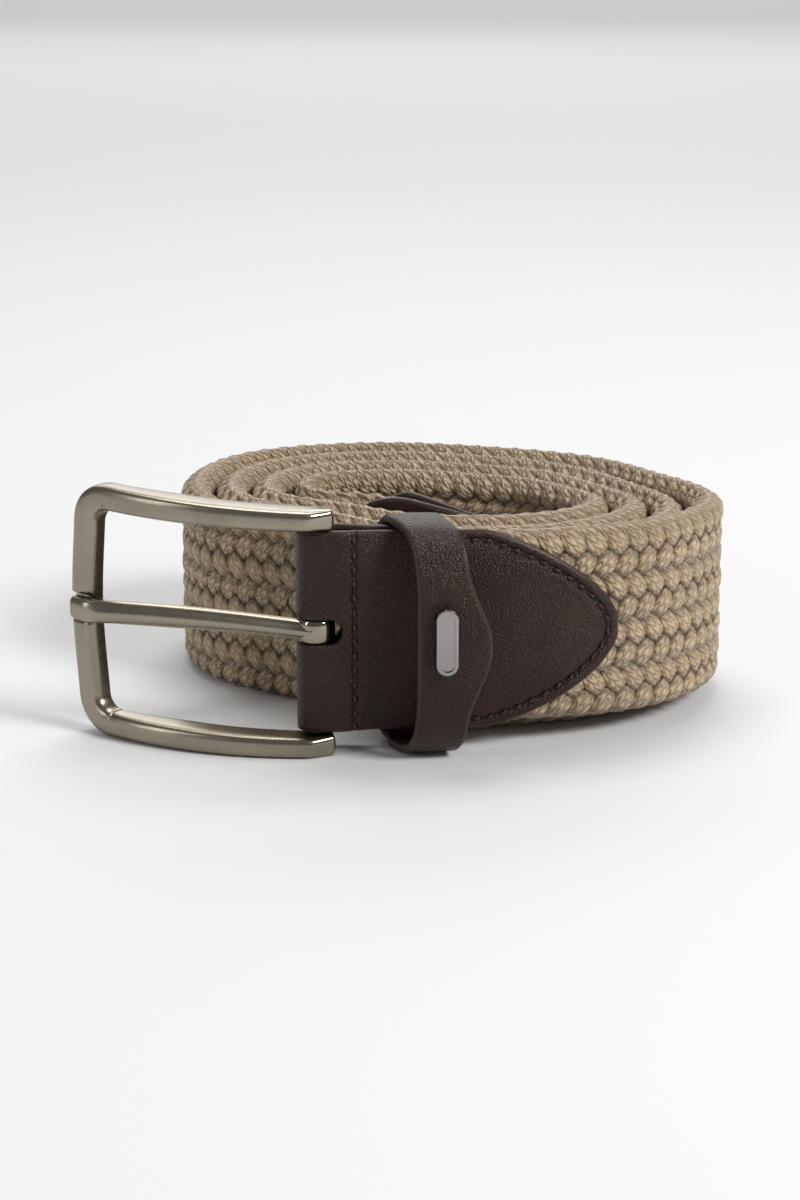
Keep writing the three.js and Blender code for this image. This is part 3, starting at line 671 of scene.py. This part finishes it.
def outlineSeam(tip, taper, start, inset):
    # the arch's outline on the flat sheet, moved inwards by the stitch inset
    q = np.linspace(-1, 1, 801)
    fromTip = (tip - start) * q ** 2
    line = np.stack([tip - fromTip, -np.sign(q) * archHalf(fromTip, taper)], -1)
    line = line[np.abs(q) > 0.004]
    direction = unit(np.gradient(line, axis=0))
    sideways = inset * np.stack([direction[:, 1], -direction[:, 0]], -1)
    moved = line + sideways * np.sign(-sideways[0, 1] * line[0, 1])
    return moved[nearest(moved, line) > inset - 0.04]


def evenly(line, pitch):
    # points one pitch apart along a line
    travel = np.r_[0, np.cumsum(np.linalg.norm(np.diff(line, axis=0), axis=1))]
    places = np.arange(pitch / 2, travel[-1], pitch)
    return np.stack([np.interp(places, travel, line[:, k]) for k in range(line.shape[1])], -1)


def onSheet(flat, offset, side, lift=0.0):
    # a place on the flat sheet, as distance along the strap and rise, brought onto the strap's side
    place, out = pathAt(flat[:, 0])[::2]
    drop = edgeDrop(flat) if offset is chapeOffset else 0
    spot = place + out * (side * (offset(flat[:, 0]) + lift - drop))[:, None]
    return np.c_[spot, middleHeight(flat[:, 0]) + flat[:, 1]]


def stitches(name, flatLines, offset, sides):
    # short rounded threads that dip into the leather at both ends
    rings, around = 7, 6
    t = np.linspace(-1, 1, rings)
    turn = 2 * np.pi * np.arange(around) / around
    vertices = []
    for flatLine in flatLines:
        for side in sides:
            centre = evenly(flatLine, leather["pitch"])
            direction = unit(np.gradient(centre, axis=0))
            slanted = unit(direction + leather["slant"] * np.stack([-direction[:, 1], direction[:, 0]], -1))
            cross = np.stack([-slanted[:, 1], slanted[:, 0]], -1)
            reach = leather["stitchLength"] / 2
            thin = leather["stitchRadius"] * np.sqrt(1 - 0.8 * t ** 2)
            flat = (centre[:, None, None, :] + slanted[:, None, None, :] * (reach * t)[None, :, None, None]
                    + cross[:, None, None, :] * (thin[:, None] * np.cos(turn)[None, :])[None, :, :, None])
            lift = (thin[:, None] * np.sin(turn)[None, :] + leather["stitchRise"] - leather["grooveDepth"]
                    - leather["stitchSink"] * t[:, None] ** 4)
            flat = flat.reshape(-1, 2)
            lift = np.broadcast_to(lift[None], (len(centre), rings, around)).reshape(-1)
            vertices.append(onSheet(flat, offset, side, lift))
    vertices = np.vstack(vertices)
    number = len(vertices) // (rings * around)
    starts = (np.arange(number) * rings * around)[:, None, None]
    quads = (ringFaces(rings, around)[None] + starts).reshape(-1, 4)
    caps = np.stack([np.arange(around)[::-1], np.arange(around) + (rings - 1) * around])
    caps = (caps[None] + starts).reshape(-1, around)
    piece = makeMesh(name, vertices, [quads, caps], "strap", finishes["thread"])
    turnOutward(piece.data)


def chapeOffset(distance):
    clear = smooth((distance - strap["heelStart"]) / (2 * leather["foldRadius"]))
    return leather["foldRadius"] + (sheetOffset(distance) - leather["foldRadius"]) * clear + strap["leatherWall"] / 2


def groove(seam):
    # the leather is pressed in along the stitches, as a bell curve of the distance
    return leather["grooveDepth"] * np.exp(-(seam / leather["grooveWidth"]) ** 2)


def edgeDrop(flat):
    # past the fold, the sheet bends in over the strap's rounded edges, by a high power of the rise
    past = smooth((flat[:, 0] - strap["heelStart"] - 3) / 8)
    return leather["crown"] * past * (np.abs(flat[:, 1]) / (strap["leatherWidth"] / 2)) ** leather["crownPower"]


def perRow(values, grid):
    return np.broadcast_to(values[:, None], grid.shape).ravel()


def raiseSheet(distance, place, face, reach, rise):
    # the sheet's rows and columns brought out from the strap's middle, as far as the reach says
    count = rise.shape[1]
    spots = np.repeat(place, count, axis=0) + np.repeat(face, count, axis=0) * reach[:, None]
    return np.c_[spots, np.repeat(middleHeight(distance), count) + rise.ravel()]


def leatherPiece(name, node, points, quads, values, seam, edgeGap):
    vertices, faces, marks = thickSheet(points, quads, values["wall"], values["rim"], values["rimSteps"],
                                        {"seam": seam, "rim": edgeGap})
    makeMesh(name, vertices, faces, "strap", finishes["leather"], [node], marks=marks)


def makeChape():
    # the sheet runs from its front point to the fold, round the heel pin and back to its inner point
    rim, start = leather["rim"], strap["heelStart"]
    tips = {1: tabEnd, -1: tabEnd - strap["backTabShort"]}
    slotEnd = start + leather["slotReach"] + rim
    slotHalf = leather["slotHalf"] + rim
    slotCentre = slotEnd - slotHalf
    curve = np.radians(np.linspace(11, 90, leather["slotRows"]))
    slotRows = np.r_[slotCentre + slotHalf * np.cos(curve), (slotCentre + start) / 2]
    slotWide = np.r_[slotHalf * np.sin(curve), slotHalf]
    front = easedRun(tabEnd - rim, slotRows[0], leather["frontRows"])
    back = easedRun(tips[-1] - rim, slotRows[0], leather["backRows"])[::-1]
    turns = np.pi * np.arange(leather["foldRows"] + 1) / leather["foldRows"]

    def opened(d):
        return slotWide[0] + (slotHalf - slotWide[0]) * smooth((d - slotRows[0]) / leather["slotBlend"])

    distance = np.r_[front, slotRows, np.full(len(turns), start), slotRows[::-1], back]
    turn = np.r_[np.zeros(len(front) + len(slotRows)), turns, np.full(len(slotRows) + len(back), np.pi)]
    wide = np.r_[opened(front), slotWide, np.full(len(turns), slotHalf), slotWide[::-1], opened(back)]
    inSlot = np.zeros(len(distance), bool)
    inSlot[len(front):len(front) + 2 * len(slotRows) + len(turns)] = True
    tall = archHalf(np.where(turn < np.pi / 2, tips[1], tips[-1]) - distance, strap["taperLength"]) - rim
    tall = np.maximum(tall, leather["leastTall"])
    full = strap["leatherWidth"] / 2 - rim
    s = slotHalf / full
    columns = np.r_[np.linspace(-1, -s, leather["sideColumns"]), np.linspace(-s, s, leather["slotColumns"] + 1)[1:],
                    np.linspace(s, 1, leather["sideColumns"])[1:]]
    size = np.abs(columns)[None, :]
    hole, warpTo = (wide / full)[:, None], leather["warpTo"]
    warped = np.where(size <= s + 1e-9, size * hole / s,
                      np.where(size < warpTo, hole + (size - s) * (warpTo - hole) / (warpTo - s), size))
    columnPlace = -np.sign(columns)[None, :] * warped
    rise = columnPlace * tall[:, None]
    place, along, out = pathAt(distance)
    face = out * np.cos(turn)[:, None] - along * np.sin(turn)[:, None]
    flat = np.stack([np.broadcast_to(distance[:, None], rise.shape), rise], -1).reshape(-1, 2)
    seamLine = np.stack([np.full(60, start + leather["seamPlace"]), np.linspace(full, -full, 60)], -1)
    lines = {}
    for side, tip in tips.items():
        lines[side] = outlineSeam(tip, strap["taperLength"], start + leather["stitchFrom"], leather["stitchInset"])
    isFront = perRow(turn < np.pi / 2, rise)
    seam = np.where(isFront, nearest(flat, np.vstack([evenly(lines[1], leather["seamStep"]), seamLine])),
                    nearest(flat, np.vstack([evenly(lines[-1], leather["seamStep"]), seamLine])))
    onFold = perRow((turn > 0) & (turn < np.pi), rise)
    seam = np.where(onFold, leather["farFromSeam"], seam)
    reach = perRow(chapeOffset(distance), rise) - groove(seam) - edgeDrop(flat)
    quads = ringFaces(len(distance), len(columns), closedRing=False)
    row, column = quads[:, 0] // len(columns), quads[:, 0] % len(columns)
    within = np.abs(columns) <= s + 1e-9
    cut = inSlot[row] & inSlot[row + 1] & within[column] & within[column + 1]
    toTip = np.where(turn < np.pi / 2, tips[1] - rim, tips[-1] - rim) - distance
    edgeGap = np.minimum((tall[:, None] - np.abs(rise)).ravel(), perRow(toTip, rise))
    points = raiseSheet(distance, place, face, reach, rise)
    leatherPiece("chapeLeather", "leather_chape", points, quads[~cut], leather, seam, edgeGap)
    stitches("chapeStitches", [lines[1], seamLine], chapeOffset, [1])
    stitches("chapeBackStitches", [lines[-1], seamLine], chapeOffset, [-1])


def tipOffset(distance):
    lying = sheetOffset(np.minimum(distance, braidEnd))
    return lying + (leather["tipFold"] - lying) * tipClosing(distance) + strap["leatherWall"] / 2


def makeTip():
    # two layers over the braid's end that close round it and meet at the point
    rim = leather["rim"]
    tip, start = tailStart + strap["tailLength"], tailStart
    run = easedRun(start + rim, tip, leather["tipRows"])
    turns = np.pi * np.arange(9) / 8
    distance = np.r_[run, np.full(len(turns), tip), run[::-1]]
    turn = np.r_[np.zeros(len(run)), turns, np.full(len(run), np.pi)]
    tall = np.minimum(archHalf(tip - distance, strap["tailTaper"]),
                      archHalf(distance - start, strap["taperLength"])) - rim
    tall = np.maximum(tall, leather["leastTall"])
    columns = np.linspace(-1, 1, leather["tipColumns"] + 1)
    rise = columns[None, :] * tall[:, None]
    place, along, out = pathAt(distance)
    face = out * np.cos(turn)[:, None] + along * np.sin(turn)[:, None]
    flat = np.stack([np.broadcast_to(distance[:, None], rise.shape), rise], -1).reshape(-1, 2)
    tipLine = outlineSeam(tip, strap["tailTaper"], (tip + start) / 2 + 4, leather["stitchInset"])
    seam = nearest(flat, evenly(tipLine, leather["seamStep"]))
    seam = np.where(perRow((turn > 0) & (turn < np.pi), rise), leather["farFromSeam"], seam)
    reach = perRow(tipOffset(distance), rise) - groove(seam)
    edgeGap = np.minimum((tall[:, None] - np.abs(rise)).ravel(), perRow(distance - start - rim, rise))
    quads = ringFaces(len(distance), len(columns), closedRing=False)
    points = raiseSheet(distance, place, face, reach, rise)
    leatherPiece("tipLeather", "tip_tab", points, quads, leather, seam, edgeGap)
    stitches("tipStitches", [tipLine], tipOffset, [1, -1])


makeChape()
makeTip()
print("leather ends made")

keeper = {"place": 17.6, "wall": 1.4, "width": 9,
          "pointWidth": 3.6, "pointHeight": 0.66, "topGap": 0.5, "backGap": 1.6,
          "bulge": 6.3, "skew": -1.0, "lean": 0.38, "skewPoint": 1.8, "skewBack": 2.6, "pointStart": 0.02,
          "frontRoundness": 0.7, "backRoundness": 0.5, "endRoundness": 0.48,
          "backRounding": 8, "stations": 200, "across": 14,
          "spread": 2.3, "ease": 1.6, "rim": 0.4, "rimSteps": 6, "crown": 0.12}


def keeperSection(turn):
    # a squared oval round the strap: bulging in front, close behind
    distance = np.array([strap["heelStart"] + keeper["place"]])
    flat = float(sheetOffset(distance)[0]) + strap["leatherWall"] / 2
    front = flat + keeper["bulge"] + keeper["wall"] / 2
    back = flat + keeper["backGap"] + keeper["wall"] / 2
    top = float(middleHeight(distance)[0]) + strap["leatherWidth"] / 2 + keeper["topGap"] + keeper["wall"]
    tall = (top - keeper["wall"]) / 2
    c, s = np.cos(turn), np.sin(turn)
    outwards = np.where(c > 0, front * np.abs(c) ** keeper["frontRoundness"],
                        -back * np.abs(c) ** keeper["backRoundness"])
    return np.stack([outwards, tall * np.sign(s) * np.abs(s) ** keeper["endRoundness"]], -1), tall, top


def spreadShare(f):
    # the power of the share over the sum of it and the power of what is left
    return f ** keeper["spread"] / (f ** keeper["spread"] + (1 - f) ** keeper["ease"])


def makeKeeper():
    # the oval carried across the loop's width, whose front is drawn out to a soft point
    quarter = keeper["stations"] // 4
    i = np.arange(keeper["stations"])
    share = (i % quarter + 0.5) / quarter
    row = i // quarter
    turn = np.pi / 2 * (row + np.where(row % 2 == 1, 1 - spreadShare(1 - share), spreadShare(share)))
    section, tall, top = keeperSection(turn)
    tangent = unit(keeperSection(turn + 0.01)[0] - keeperSection(turn - 0.01)[0])
    normal = np.stack([tangent[:, 1], -tangent[:, 0]], -1)
    height = np.minimum(np.abs(section[:, 1]) / tall, 1)
    inFront = (np.cos(turn) > 0).astype(float)
    pointed = inFront * smooth(1 - (height - keeper["pointStart"]) / keeper["pointHeight"])
    side = np.linspace(1, -1, keeper["across"] + 1)
    half = (keeper["width"] + keeper["pointWidth"] * pointed) / 2 - keeper["rim"]
    fallen = 1 - height ** keeper["backRounding"]
    slide = (keeper["skew"] + keeper["lean"] * np.maximum(section[:, 0], 0)
             + keeper["skewPoint"] * pointed
             - (1 - inFront) * keeper["skewBack"] * fallen)[:, None] + side[None, :] * half[:, None]
    shift = keeper["wall"] / 2 + keeper["crown"] * (1 - side ** 2) - keeper["crown"]
    spot = section[:, None, :] + normal[:, None, :] * shift[None, :, None]
    place, along, out = (v[0] for v in pathAt(np.array([strap["heelStart"] + keeper["place"]])))
    points = np.empty((len(turn), len(side), 3))
    points[..., :2] = place + along * slide[..., None] + out * spot[..., :1]
    points[..., 2] = top / 2 + spot[..., 1]
    quads = ringFaces(len(turn), len(side), closedRing=False, closedRun=True)
    edge = (half[:, None] * (1 - np.abs(side))[None, :]).ravel()
    leatherPiece("keeperLeather", "keeper_loop", points.reshape(-1, 3), quads, keeper,
                 np.full(edge.size, leather["farFromSeam"]), edge)


makeKeeper()
print("keeper made")


def replaceCopy(node, name, body, finish, bevel, segments=3, angle=28):
    # a merged copy of the solid with softened edges
    mesh = frame["nodes"][node].data.copy()
    mesh.name = name
    shell = bmesh.new()
    shell.from_mesh(mesh)
    bmesh.ops.remove_doubles(shell, verts=shell.verts, dist=0.00001)
    bmesh.ops.dissolve_limit(shell, angle_limit=math.radians(1.0), verts=shell.verts, edges=shell.edges)
    shell.to_mesh(mesh)
    shell.free()
    piece = bpy.data.objects.new(name, mesh)
    bpy.context.collection.objects.link(piece)
    mesh.polygons.foreach_set("use_smooth", np.ones(len(mesh.polygons), bool))
    mesh.materials.clear()
    mesh.materials.append(finish)
    addModifier(piece, "BEVEL", width=bevel, segments=segments, limit_method="ANGLE",
                angle_limit=math.radians(angle), harden_normals=False)
    addModifier(piece, "WEIGHTED_NORMAL", keep_sharp=True)
    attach(piece, body)
    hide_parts(node)


replaceCopy("keeper_stud", "keeperStud", "strap", finishes["bright"], 0.00012)

# The buckle: bars bowed outwards, one heel pin, and a tongue with an eye round it
buckle = {"reach": 44.7, "heel": 2.6, "bow": 52.7, "forward": 2.9, "swingIn": 2, "depth": 6.2, "pinRadius": 1.7,
          "pinGap": 0.3, "heelHeight": 3.6, "farHeight": 4.6, "spread": 0.2, "farBulge": 1.5, "windowGap": 0.25,
          "corner": 4.5, "notchDepth": 1.6, "notchGap": 0.2, "squareness": 3.9, "points": 40,
          "farThin": 0.16, "thinFrom": 22, "thinOver": 18, "farWide": 1.13, "farOut": 0.35, "straightSteps": 46,
          "cornerSteps": 16, "farSteps": 56, "dome": 0.7, "polishReach": 5.5, "facetReach": 3.6, "facet": 0.42,
          "domeSteps": 8, "domeEnd": 0.97, "notchEase": 0.35, "notchOver": 0.5, "farShare": 0.75}
tongue = {"height": 4.1, "depth": 3.0, "bow": 1.2, "tipBend": 5.2, "short": 1.15, "eyeWall": 1.25, "lay": 0.3,
          "squareness": 2.0, "points": 24, "shankSteps": 60, "tipSteps": 14, "dome": 0.7, "tipSquareness": 3.2,
          "slimAtRoot": 0.86, "slimOver": 34, "ridge": 0.16, "ridgePower": 6, "easing": 7, "eyeSteps": 56,
          "eyePoints": 20, "eyeSquareness": 3.0, "polishOver": 6}


def bowPoint(reach, forward):
    # a place on the bow: so far from the heel, and so far in front of the bars' middle
    turn = math.asin(buckle["swingIn"] / buckle["bow"]) - reach / buckle["bow"]
    radius = buckle["bow"] + forward
    return np.stack([strap["heelX"] - buckle["swingIn"] + radius * np.sin(turn),
                     strap["heelY"] - buckle["forward"] + buckle["bow"] - radius * np.cos(turn)], -1)


def barHeight(reach):
    return buckle["heelHeight"] + (buckle["farHeight"] - buckle["heelHeight"]) * reach / buckle["reach"]


def frameTop(reach):
    window = strap["leatherWidth"] + 2 * buckle["windowGap"]
    widening = 2 * (buckle["farHeight"] - buckle["heelHeight"]) + buckle["spread"]
    return buckle["heelHeight"] * 2 + window + widening * reach / buckle["reach"]


def frameCentre():
    # lower bar from the heel, a quarter turn, the far bar, a quarter turn, and the upper bar back
    farCentre = buckle["reach"] - buckle["farBulge"] - buckle["farHeight"] / 2
    barEnd = farCentre - buckle["corner"]
    straight = easedRun(-buckle["heel"], barEnd, buckle["straightSteps"])
    quarter = np.linspace(0, np.pi / 2, buckle["cornerSteps"])
    low = barHeight(barEnd) / 2 + buckle["corner"]
    high = frameTop(barEnd) - barHeight(barEnd) / 2 - buckle["corner"]
    far = np.linspace(low, high, buckle["farSteps"])[1:-1]
    reach = np.r_[straight, barEnd + buckle["corner"] * np.sin(quarter), np.full(len(far), farCentre),
                  barEnd + buckle["corner"] * np.cos(quarter), straight[::-1]]
    rise = np.r_[barHeight(straight) / 2, low - buckle["corner"] * np.cos(quarter), far,
                 high + buckle["corner"] * np.sin(quarter), (frameTop(straight) - barHeight(straight) / 2)[::-1]]
    halfTall = frameTop(buckle["reach"]) / 2
    share = (rise - halfTall) / halfTall
    return reach + buckle["farBulge"] * np.cos(np.pi / 2 * share) ** 2, rise


def squaredOval(points, squareness):
    # superellipse: cosine and sine to the power of two over the squareness
    turn = 2 * np.pi * (np.arange(points) + 0.5) / points
    power = 2 / squareness
    return signedPower(np.cos(turn), power), signedPower(np.sin(turn), power)


def joinShells(shells):
    # several closed shells in one mesh
    vertices, quads, start = [], {}, 0
    for points, faceSets in shells:
        vertices.append(points)
        for faces in faceSets:
            quads.setdefault(faces.shape[1], []).append(faces + start)
        start += len(points)
    return np.vstack(vertices), [np.vstack(rows) for rows in quads.values()]


def heelCylinder(radius, bottom, top, around=40, soft=0.3):
    # an upright turned piece on the heel's axis, with softened ends
    turn = 2 * np.pi * np.arange(around) / around
    quarter = np.linspace(0, np.pi / 2, 5)
    radii = np.r_[radius - soft + soft * np.sin(quarter), radius - soft + soft * np.cos(quarter)]
    heights = np.r_[bottom + soft * (1 - np.cos(quarter)), top - soft * (1 - np.sin(quarter))]
    rings = np.stack([strap["heelX"] + radii[:, None] * np.cos(turn), strap["heelY"] + radii[:, None] * np.sin(turn),
                      np.broadcast_to(heights[:, None], (len(radii), around))], -1)
    return lofted(rings)


def tongueMiddle(reach):
    low = strap["restLift"] + strap["leatherWidth"] / 2
    return low + (frameTop(buckle["reach"]) / 2 - low) * reach / buckle["reach"]


def makeFrame():
    reach, rise = frameCentre()
    run = unit(np.stack([np.gradient(reach), np.gradient(rise)], -1))
    steps = buckle["domeSteps"]
    t = np.linspace(0, 1, steps + 1)[1:]
    small = np.sqrt(1 - (buckle["domeEnd"] * t) ** 2)
    shrink = np.r_[small[::-1], np.ones(len(reach)), small]
    reach = np.r_[(reach[0] - buckle["dome"] * t)[::-1], reach, reach[-1] - buckle["dome"] * t]
    rise, run = (np.pad(values, [(steps, steps)] + [(0, 0)] * (values.ndim - 1), "edge") for values in (rise, run))
    inward, forward = squaredOval(buckle["points"], buckle["squareness"])
    toFar = smooth((reach - buckle["thinFrom"]) / buckle["thinOver"])
    half = barHeight(reach) / 2 * shrink * (1 + (buckle["farWide"] - 1) * toFar * np.abs(run[:, 1]))
    reach = reach + buckle["farOut"] * toFar * np.abs(run[:, 1])
    place = reach[:, None] - run[:, 1:] * inward[None, :] * half[:, None]
    height = rise[:, None] + run[:, :1] * inward[None, :] * half[:, None]
    ahead = forward[None, :] * (buckle["depth"] / 2 * shrink)[:, None]
    ahead = np.where(ahead < 0, ahead * (1 - (1 - buckle["farThin"]) * toFar)[:, None], ahead)
    fromHeel = np.clip(1 - (reach + buckle["heel"]) / buckle["facetReach"], 0, 1)
    ahead = np.where(ahead > 0, ahead * (1 - (1 - buckle["facet"]) * fromHeel)[:, None], ahead)
    seat = buckle["depth"] / 2 - buckle["notchDepth"]
    fromTongue = np.abs(height - tongueMiddle(buckle["reach"])) - tongue["height"] / 2 - buckle["notchGap"]
    nearTongue = 1 - smooth((fromTongue + buckle["notchEase"]) / buckle["notchOver"])
    onFar = place > buckle["reach"] * buckle["farShare"]
    ahead = np.where(onFar & (ahead > seat), ahead - (ahead - seat) * nearTongue, ahead)
    nearHeel = smooth(1 - (place + buckle["heel"]) / buckle["polishReach"])
    spot = bowPoint(place, ahead)
    rings = np.concatenate([spot, height[..., None]], -1)
    top = frameTop(0)
    shells = [lofted(rings),
              heelCylinder(buckle["pinRadius"], buckle["heelHeight"] / 2, top - buckle["heelHeight"] / 2)]
    vertices, faces = joinShells(shells)
    polish = np.r_[nearHeel.ravel(), np.full(len(vertices) - nearHeel.size, 0.5)]
    piece = makeMesh("frameMetal", vertices, faces, "frame", finishes["satin"], ["buckle_frame"],
                     marks={"polish": polish})
    turnOutward(piece.data)


def makeTongue():
    # shank from the eye to the bend, then along the bow and over the far bar
    seat = buckle["depth"] / 2 - buckle["notchDepth"] + tongue["lay"] + tongue["depth"] / 2
    eyeRadius = buckle["pinRadius"] + buckle["pinGap"] + tongue["eyeWall"]
    root = np.array([strap["heelX"], strap["heelY"] - eyeRadius + tongue["depth"] / 2])
    bendPlace = buckle["reach"] - tongue["tipBend"]
    chord = bowPoint(np.array([bendPlace]), seat)[0] - root
    side = unit(np.array([-chord[1], chord[0]]))
    share = np.linspace(0, 1, tongue["shankSteps"] + 1)[:, None]
    shank = root + chord * share - side * tongue["bow"] * 4 * share * (1 - share)
    tipReach = bendPlace + (tongue["tipBend"] - tongue["short"]) * np.linspace(0, 1, tongue["tipSteps"] + 1)[1:]
    spots = np.vstack([shank, bowPoint(tipReach, seat)])
    reach = np.r_[bendPlace * share[:, 0], tipReach]
    kernel, ends = np.ones(tongue["easing"]) / tongue["easing"], tongue["easing"] // 2
    eased = np.stack([np.convolve(spots[:, k], kernel, "valid") for k in (0, 1)], -1)
    spots[ends:-ends] = eased
    along = unit(np.gradient(spots, axis=0))
    out = np.stack([-along[:, 1], along[:, 0]], -1)
    fromEnd = (reach[-1] - reach) / tongue["dome"]
    shrink = np.sqrt(np.clip(1 - (1 - np.minimum(fromEnd, 1)) ** 2 * 0.97, 0, 1))
    slim = tongue["slimAtRoot"] + (1 - tongue["slimAtRoot"]) * smooth(reach / tongue["slimOver"])
    wide, deep = squaredOval(tongue["points"], tongue["squareness"])
    tipWide, tipDeep = squaredOval(tongue["points"], tongue["tipSquareness"])
    flatter = smooth((reach - bendPlace + 2) / 3)[:, None]
    wide = wide[None, :] + (tipWide - wide)[None, :] * flatter
    deep = deep[None, :] + (tipDeep - deep)[None, :] * flatter
    up = wide * (tongue["height"] / 2 * shrink * slim)[:, None]
    ahead = deep * (tongue["depth"] / 2 * shrink)[:, None]
    ridge = tongue["ridge"] * np.maximum(deep, 0) ** tongue["ridgePower"] * shrink[:, None] * (1 - flatter)
    rings = np.concatenate([spots[:, None, :] + out[:, None, :] * (ahead + np.sign(ahead) * ridge)[..., None],
                            (tongueMiddle(reach)[:, None] + up)[..., None]], -1)
    middle = strap["restLift"] + strap["leatherWidth"] / 2
    steps, points = tongue["eyeSteps"], tongue["eyePoints"]
    turn = 2 * np.pi * np.arange(steps) / steps
    wallWide, wallTall = squaredOval(points, tongue["eyeSquareness"])
    radii = buckle["pinRadius"] + buckle["pinGap"] + tongue["eyeWall"] / 2 * (1 + wallWide)
    eye = np.stack([strap["heelX"] + radii * np.cos(turn)[:, None], strap["heelY"] + radii * np.sin(turn)[:, None],
                    np.broadcast_to(middle + wallTall * tongue["height"] / 2, (steps, points))], -1)
    shells = [lofted(rings), (eye.reshape(-1, 3), [ringFaces(steps, points, closedRun=True)])]
    vertices, faces = joinShells(shells)
    polish = np.r_[np.repeat(smooth(1 - reach / tongue["polishOver"]), tongue["points"]), np.ones(steps * points)]
    piece = makeMesh("tongueMetal", vertices, faces, "tongue", finishes["satin"], ["buckle_prong"],
                     marks={"polish": polish})
    turnOutward(piece.data)


makeFrame()
makeTongue()
print("buckle made")

# Floor, light and camera
studio = {"focal": 81.0, "pitch": 15.68233, "cameraY": -431.849, "cameraZ": 148.452,
          "floorColour": (0.725, 0.725, 0.73, 1), "world": 0.2}


def makeFloor():
    # a flat floor that curves up into the wall behind
    reach, front, back, radius, height = 3.0, -3.2, 2.6, 0.6, 1.8
    turn = np.linspace(0, np.pi / 2, 13)
    profile = np.vstack([[[front, 0.0]], np.stack([back + radius * np.sin(turn), radius * (1 - np.cos(turn))], -1),
                         [[back + radius, height]]])
    across = np.linspace(-reach, reach, 5)
    vertices = np.stack([np.broadcast_to(across[:, None], (5, len(profile))),
                         np.broadcast_to(profile[None, :, 0], (5, len(profile))),
                         np.broadcast_to(profile[None, :, 1], (5, len(profile)))], -1)
    mesh = bpy.data.meshes.new("studioFloor")
    mesh.from_pydata(vertices.reshape(-1, 3).tolist(), [], ringFaces(5, len(profile), closedRing=False).tolist())
    mesh.polygons.foreach_set("use_smooth", np.ones(len(mesh.polygons), bool))
    floor = bpy.data.objects.new("studioFloor", mesh)
    bpy.context.collection.objects.link(floor)
    material, tree, shader = newMaterial("paleFloor", Roughness=0.7, Specular_IOR_Level=0.15)
    place = objectPlace(tree)
    tint = noiseNode(tree, place, 3.0, 2)
    put(tree, mixColour(tree, tint, studio["floorColour"], (0.745, 0.745, 0.75, 1)), shader.inputs["Base Color"])
    mesh.materials.append(material)


def addArea(name, place, target, size, power):
    light = bpy.data.lights.new(name, "AREA")
    light.shape = "RECTANGLE"
    light.size, light.size_y = size
    light.energy = power
    lamp = bpy.data.objects.new(name, light)
    lamp.location = place
    lamp.rotation_euler = (Vector(target) - Vector(place)).to_track_quat("-Z", "Y").to_euler()
    bpy.context.collection.objects.link(lamp)


def makeStudio():
    makeFloor()
    addArea("softboxRight", (0.72, -0.44, 0.66), (0, 0.02, 0.01), (0.34, 0.34), 8.9)
    addArea("softboxTop", (-0.05, 0.35, 0.95), (0, 0.03, 0), (0.6, 0.4), 4.6)
    addArea("stripLeft", (-0.55, -0.34, 0.3), (0, 0, 0.02), (0.14, 0.5), 0.8)
    addArea("backCard", (0.1, 1.6, 0.75), (0, 0, 0), (1.6, 0.5), 5)
    addArea("backWash", (0, 2.15, 1.5), (0, 2.15, 0), (2.8, 1.2), 20)
    world = bpy.data.worlds.new("studioWorld")
    world.use_nodes = True
    world.node_tree.nodes["Background"].inputs["Color"].default_value = (1, 1, 1, 1)
    world.node_tree.nodes["Background"].inputs["Strength"].default_value = studio["world"]
    bpy.context.scene.world = world
    bpy.context.scene.view_settings.view_transform = "Standard"
    camera = bpy.data.cameras.new("photoCamera")
    camera.lens = studio["focal"]
    camera.sensor_width = 36
    camera.sensor_fit = "AUTO"
    camera.clip_start = 0.01
    eye = bpy.data.objects.new("photoCamera", camera)
    eye.location = ((np.array([0, studio["cameraY"], studio["cameraZ"]]) + partShift) * mm).tolist()
    eye.rotation_euler = (math.radians(90 - studio["pitch"]), 0, 0)
    bpy.context.collection.objects.link(eye)
    bpy.context.scene.camera = eye


makeStudio()
print("studio made")
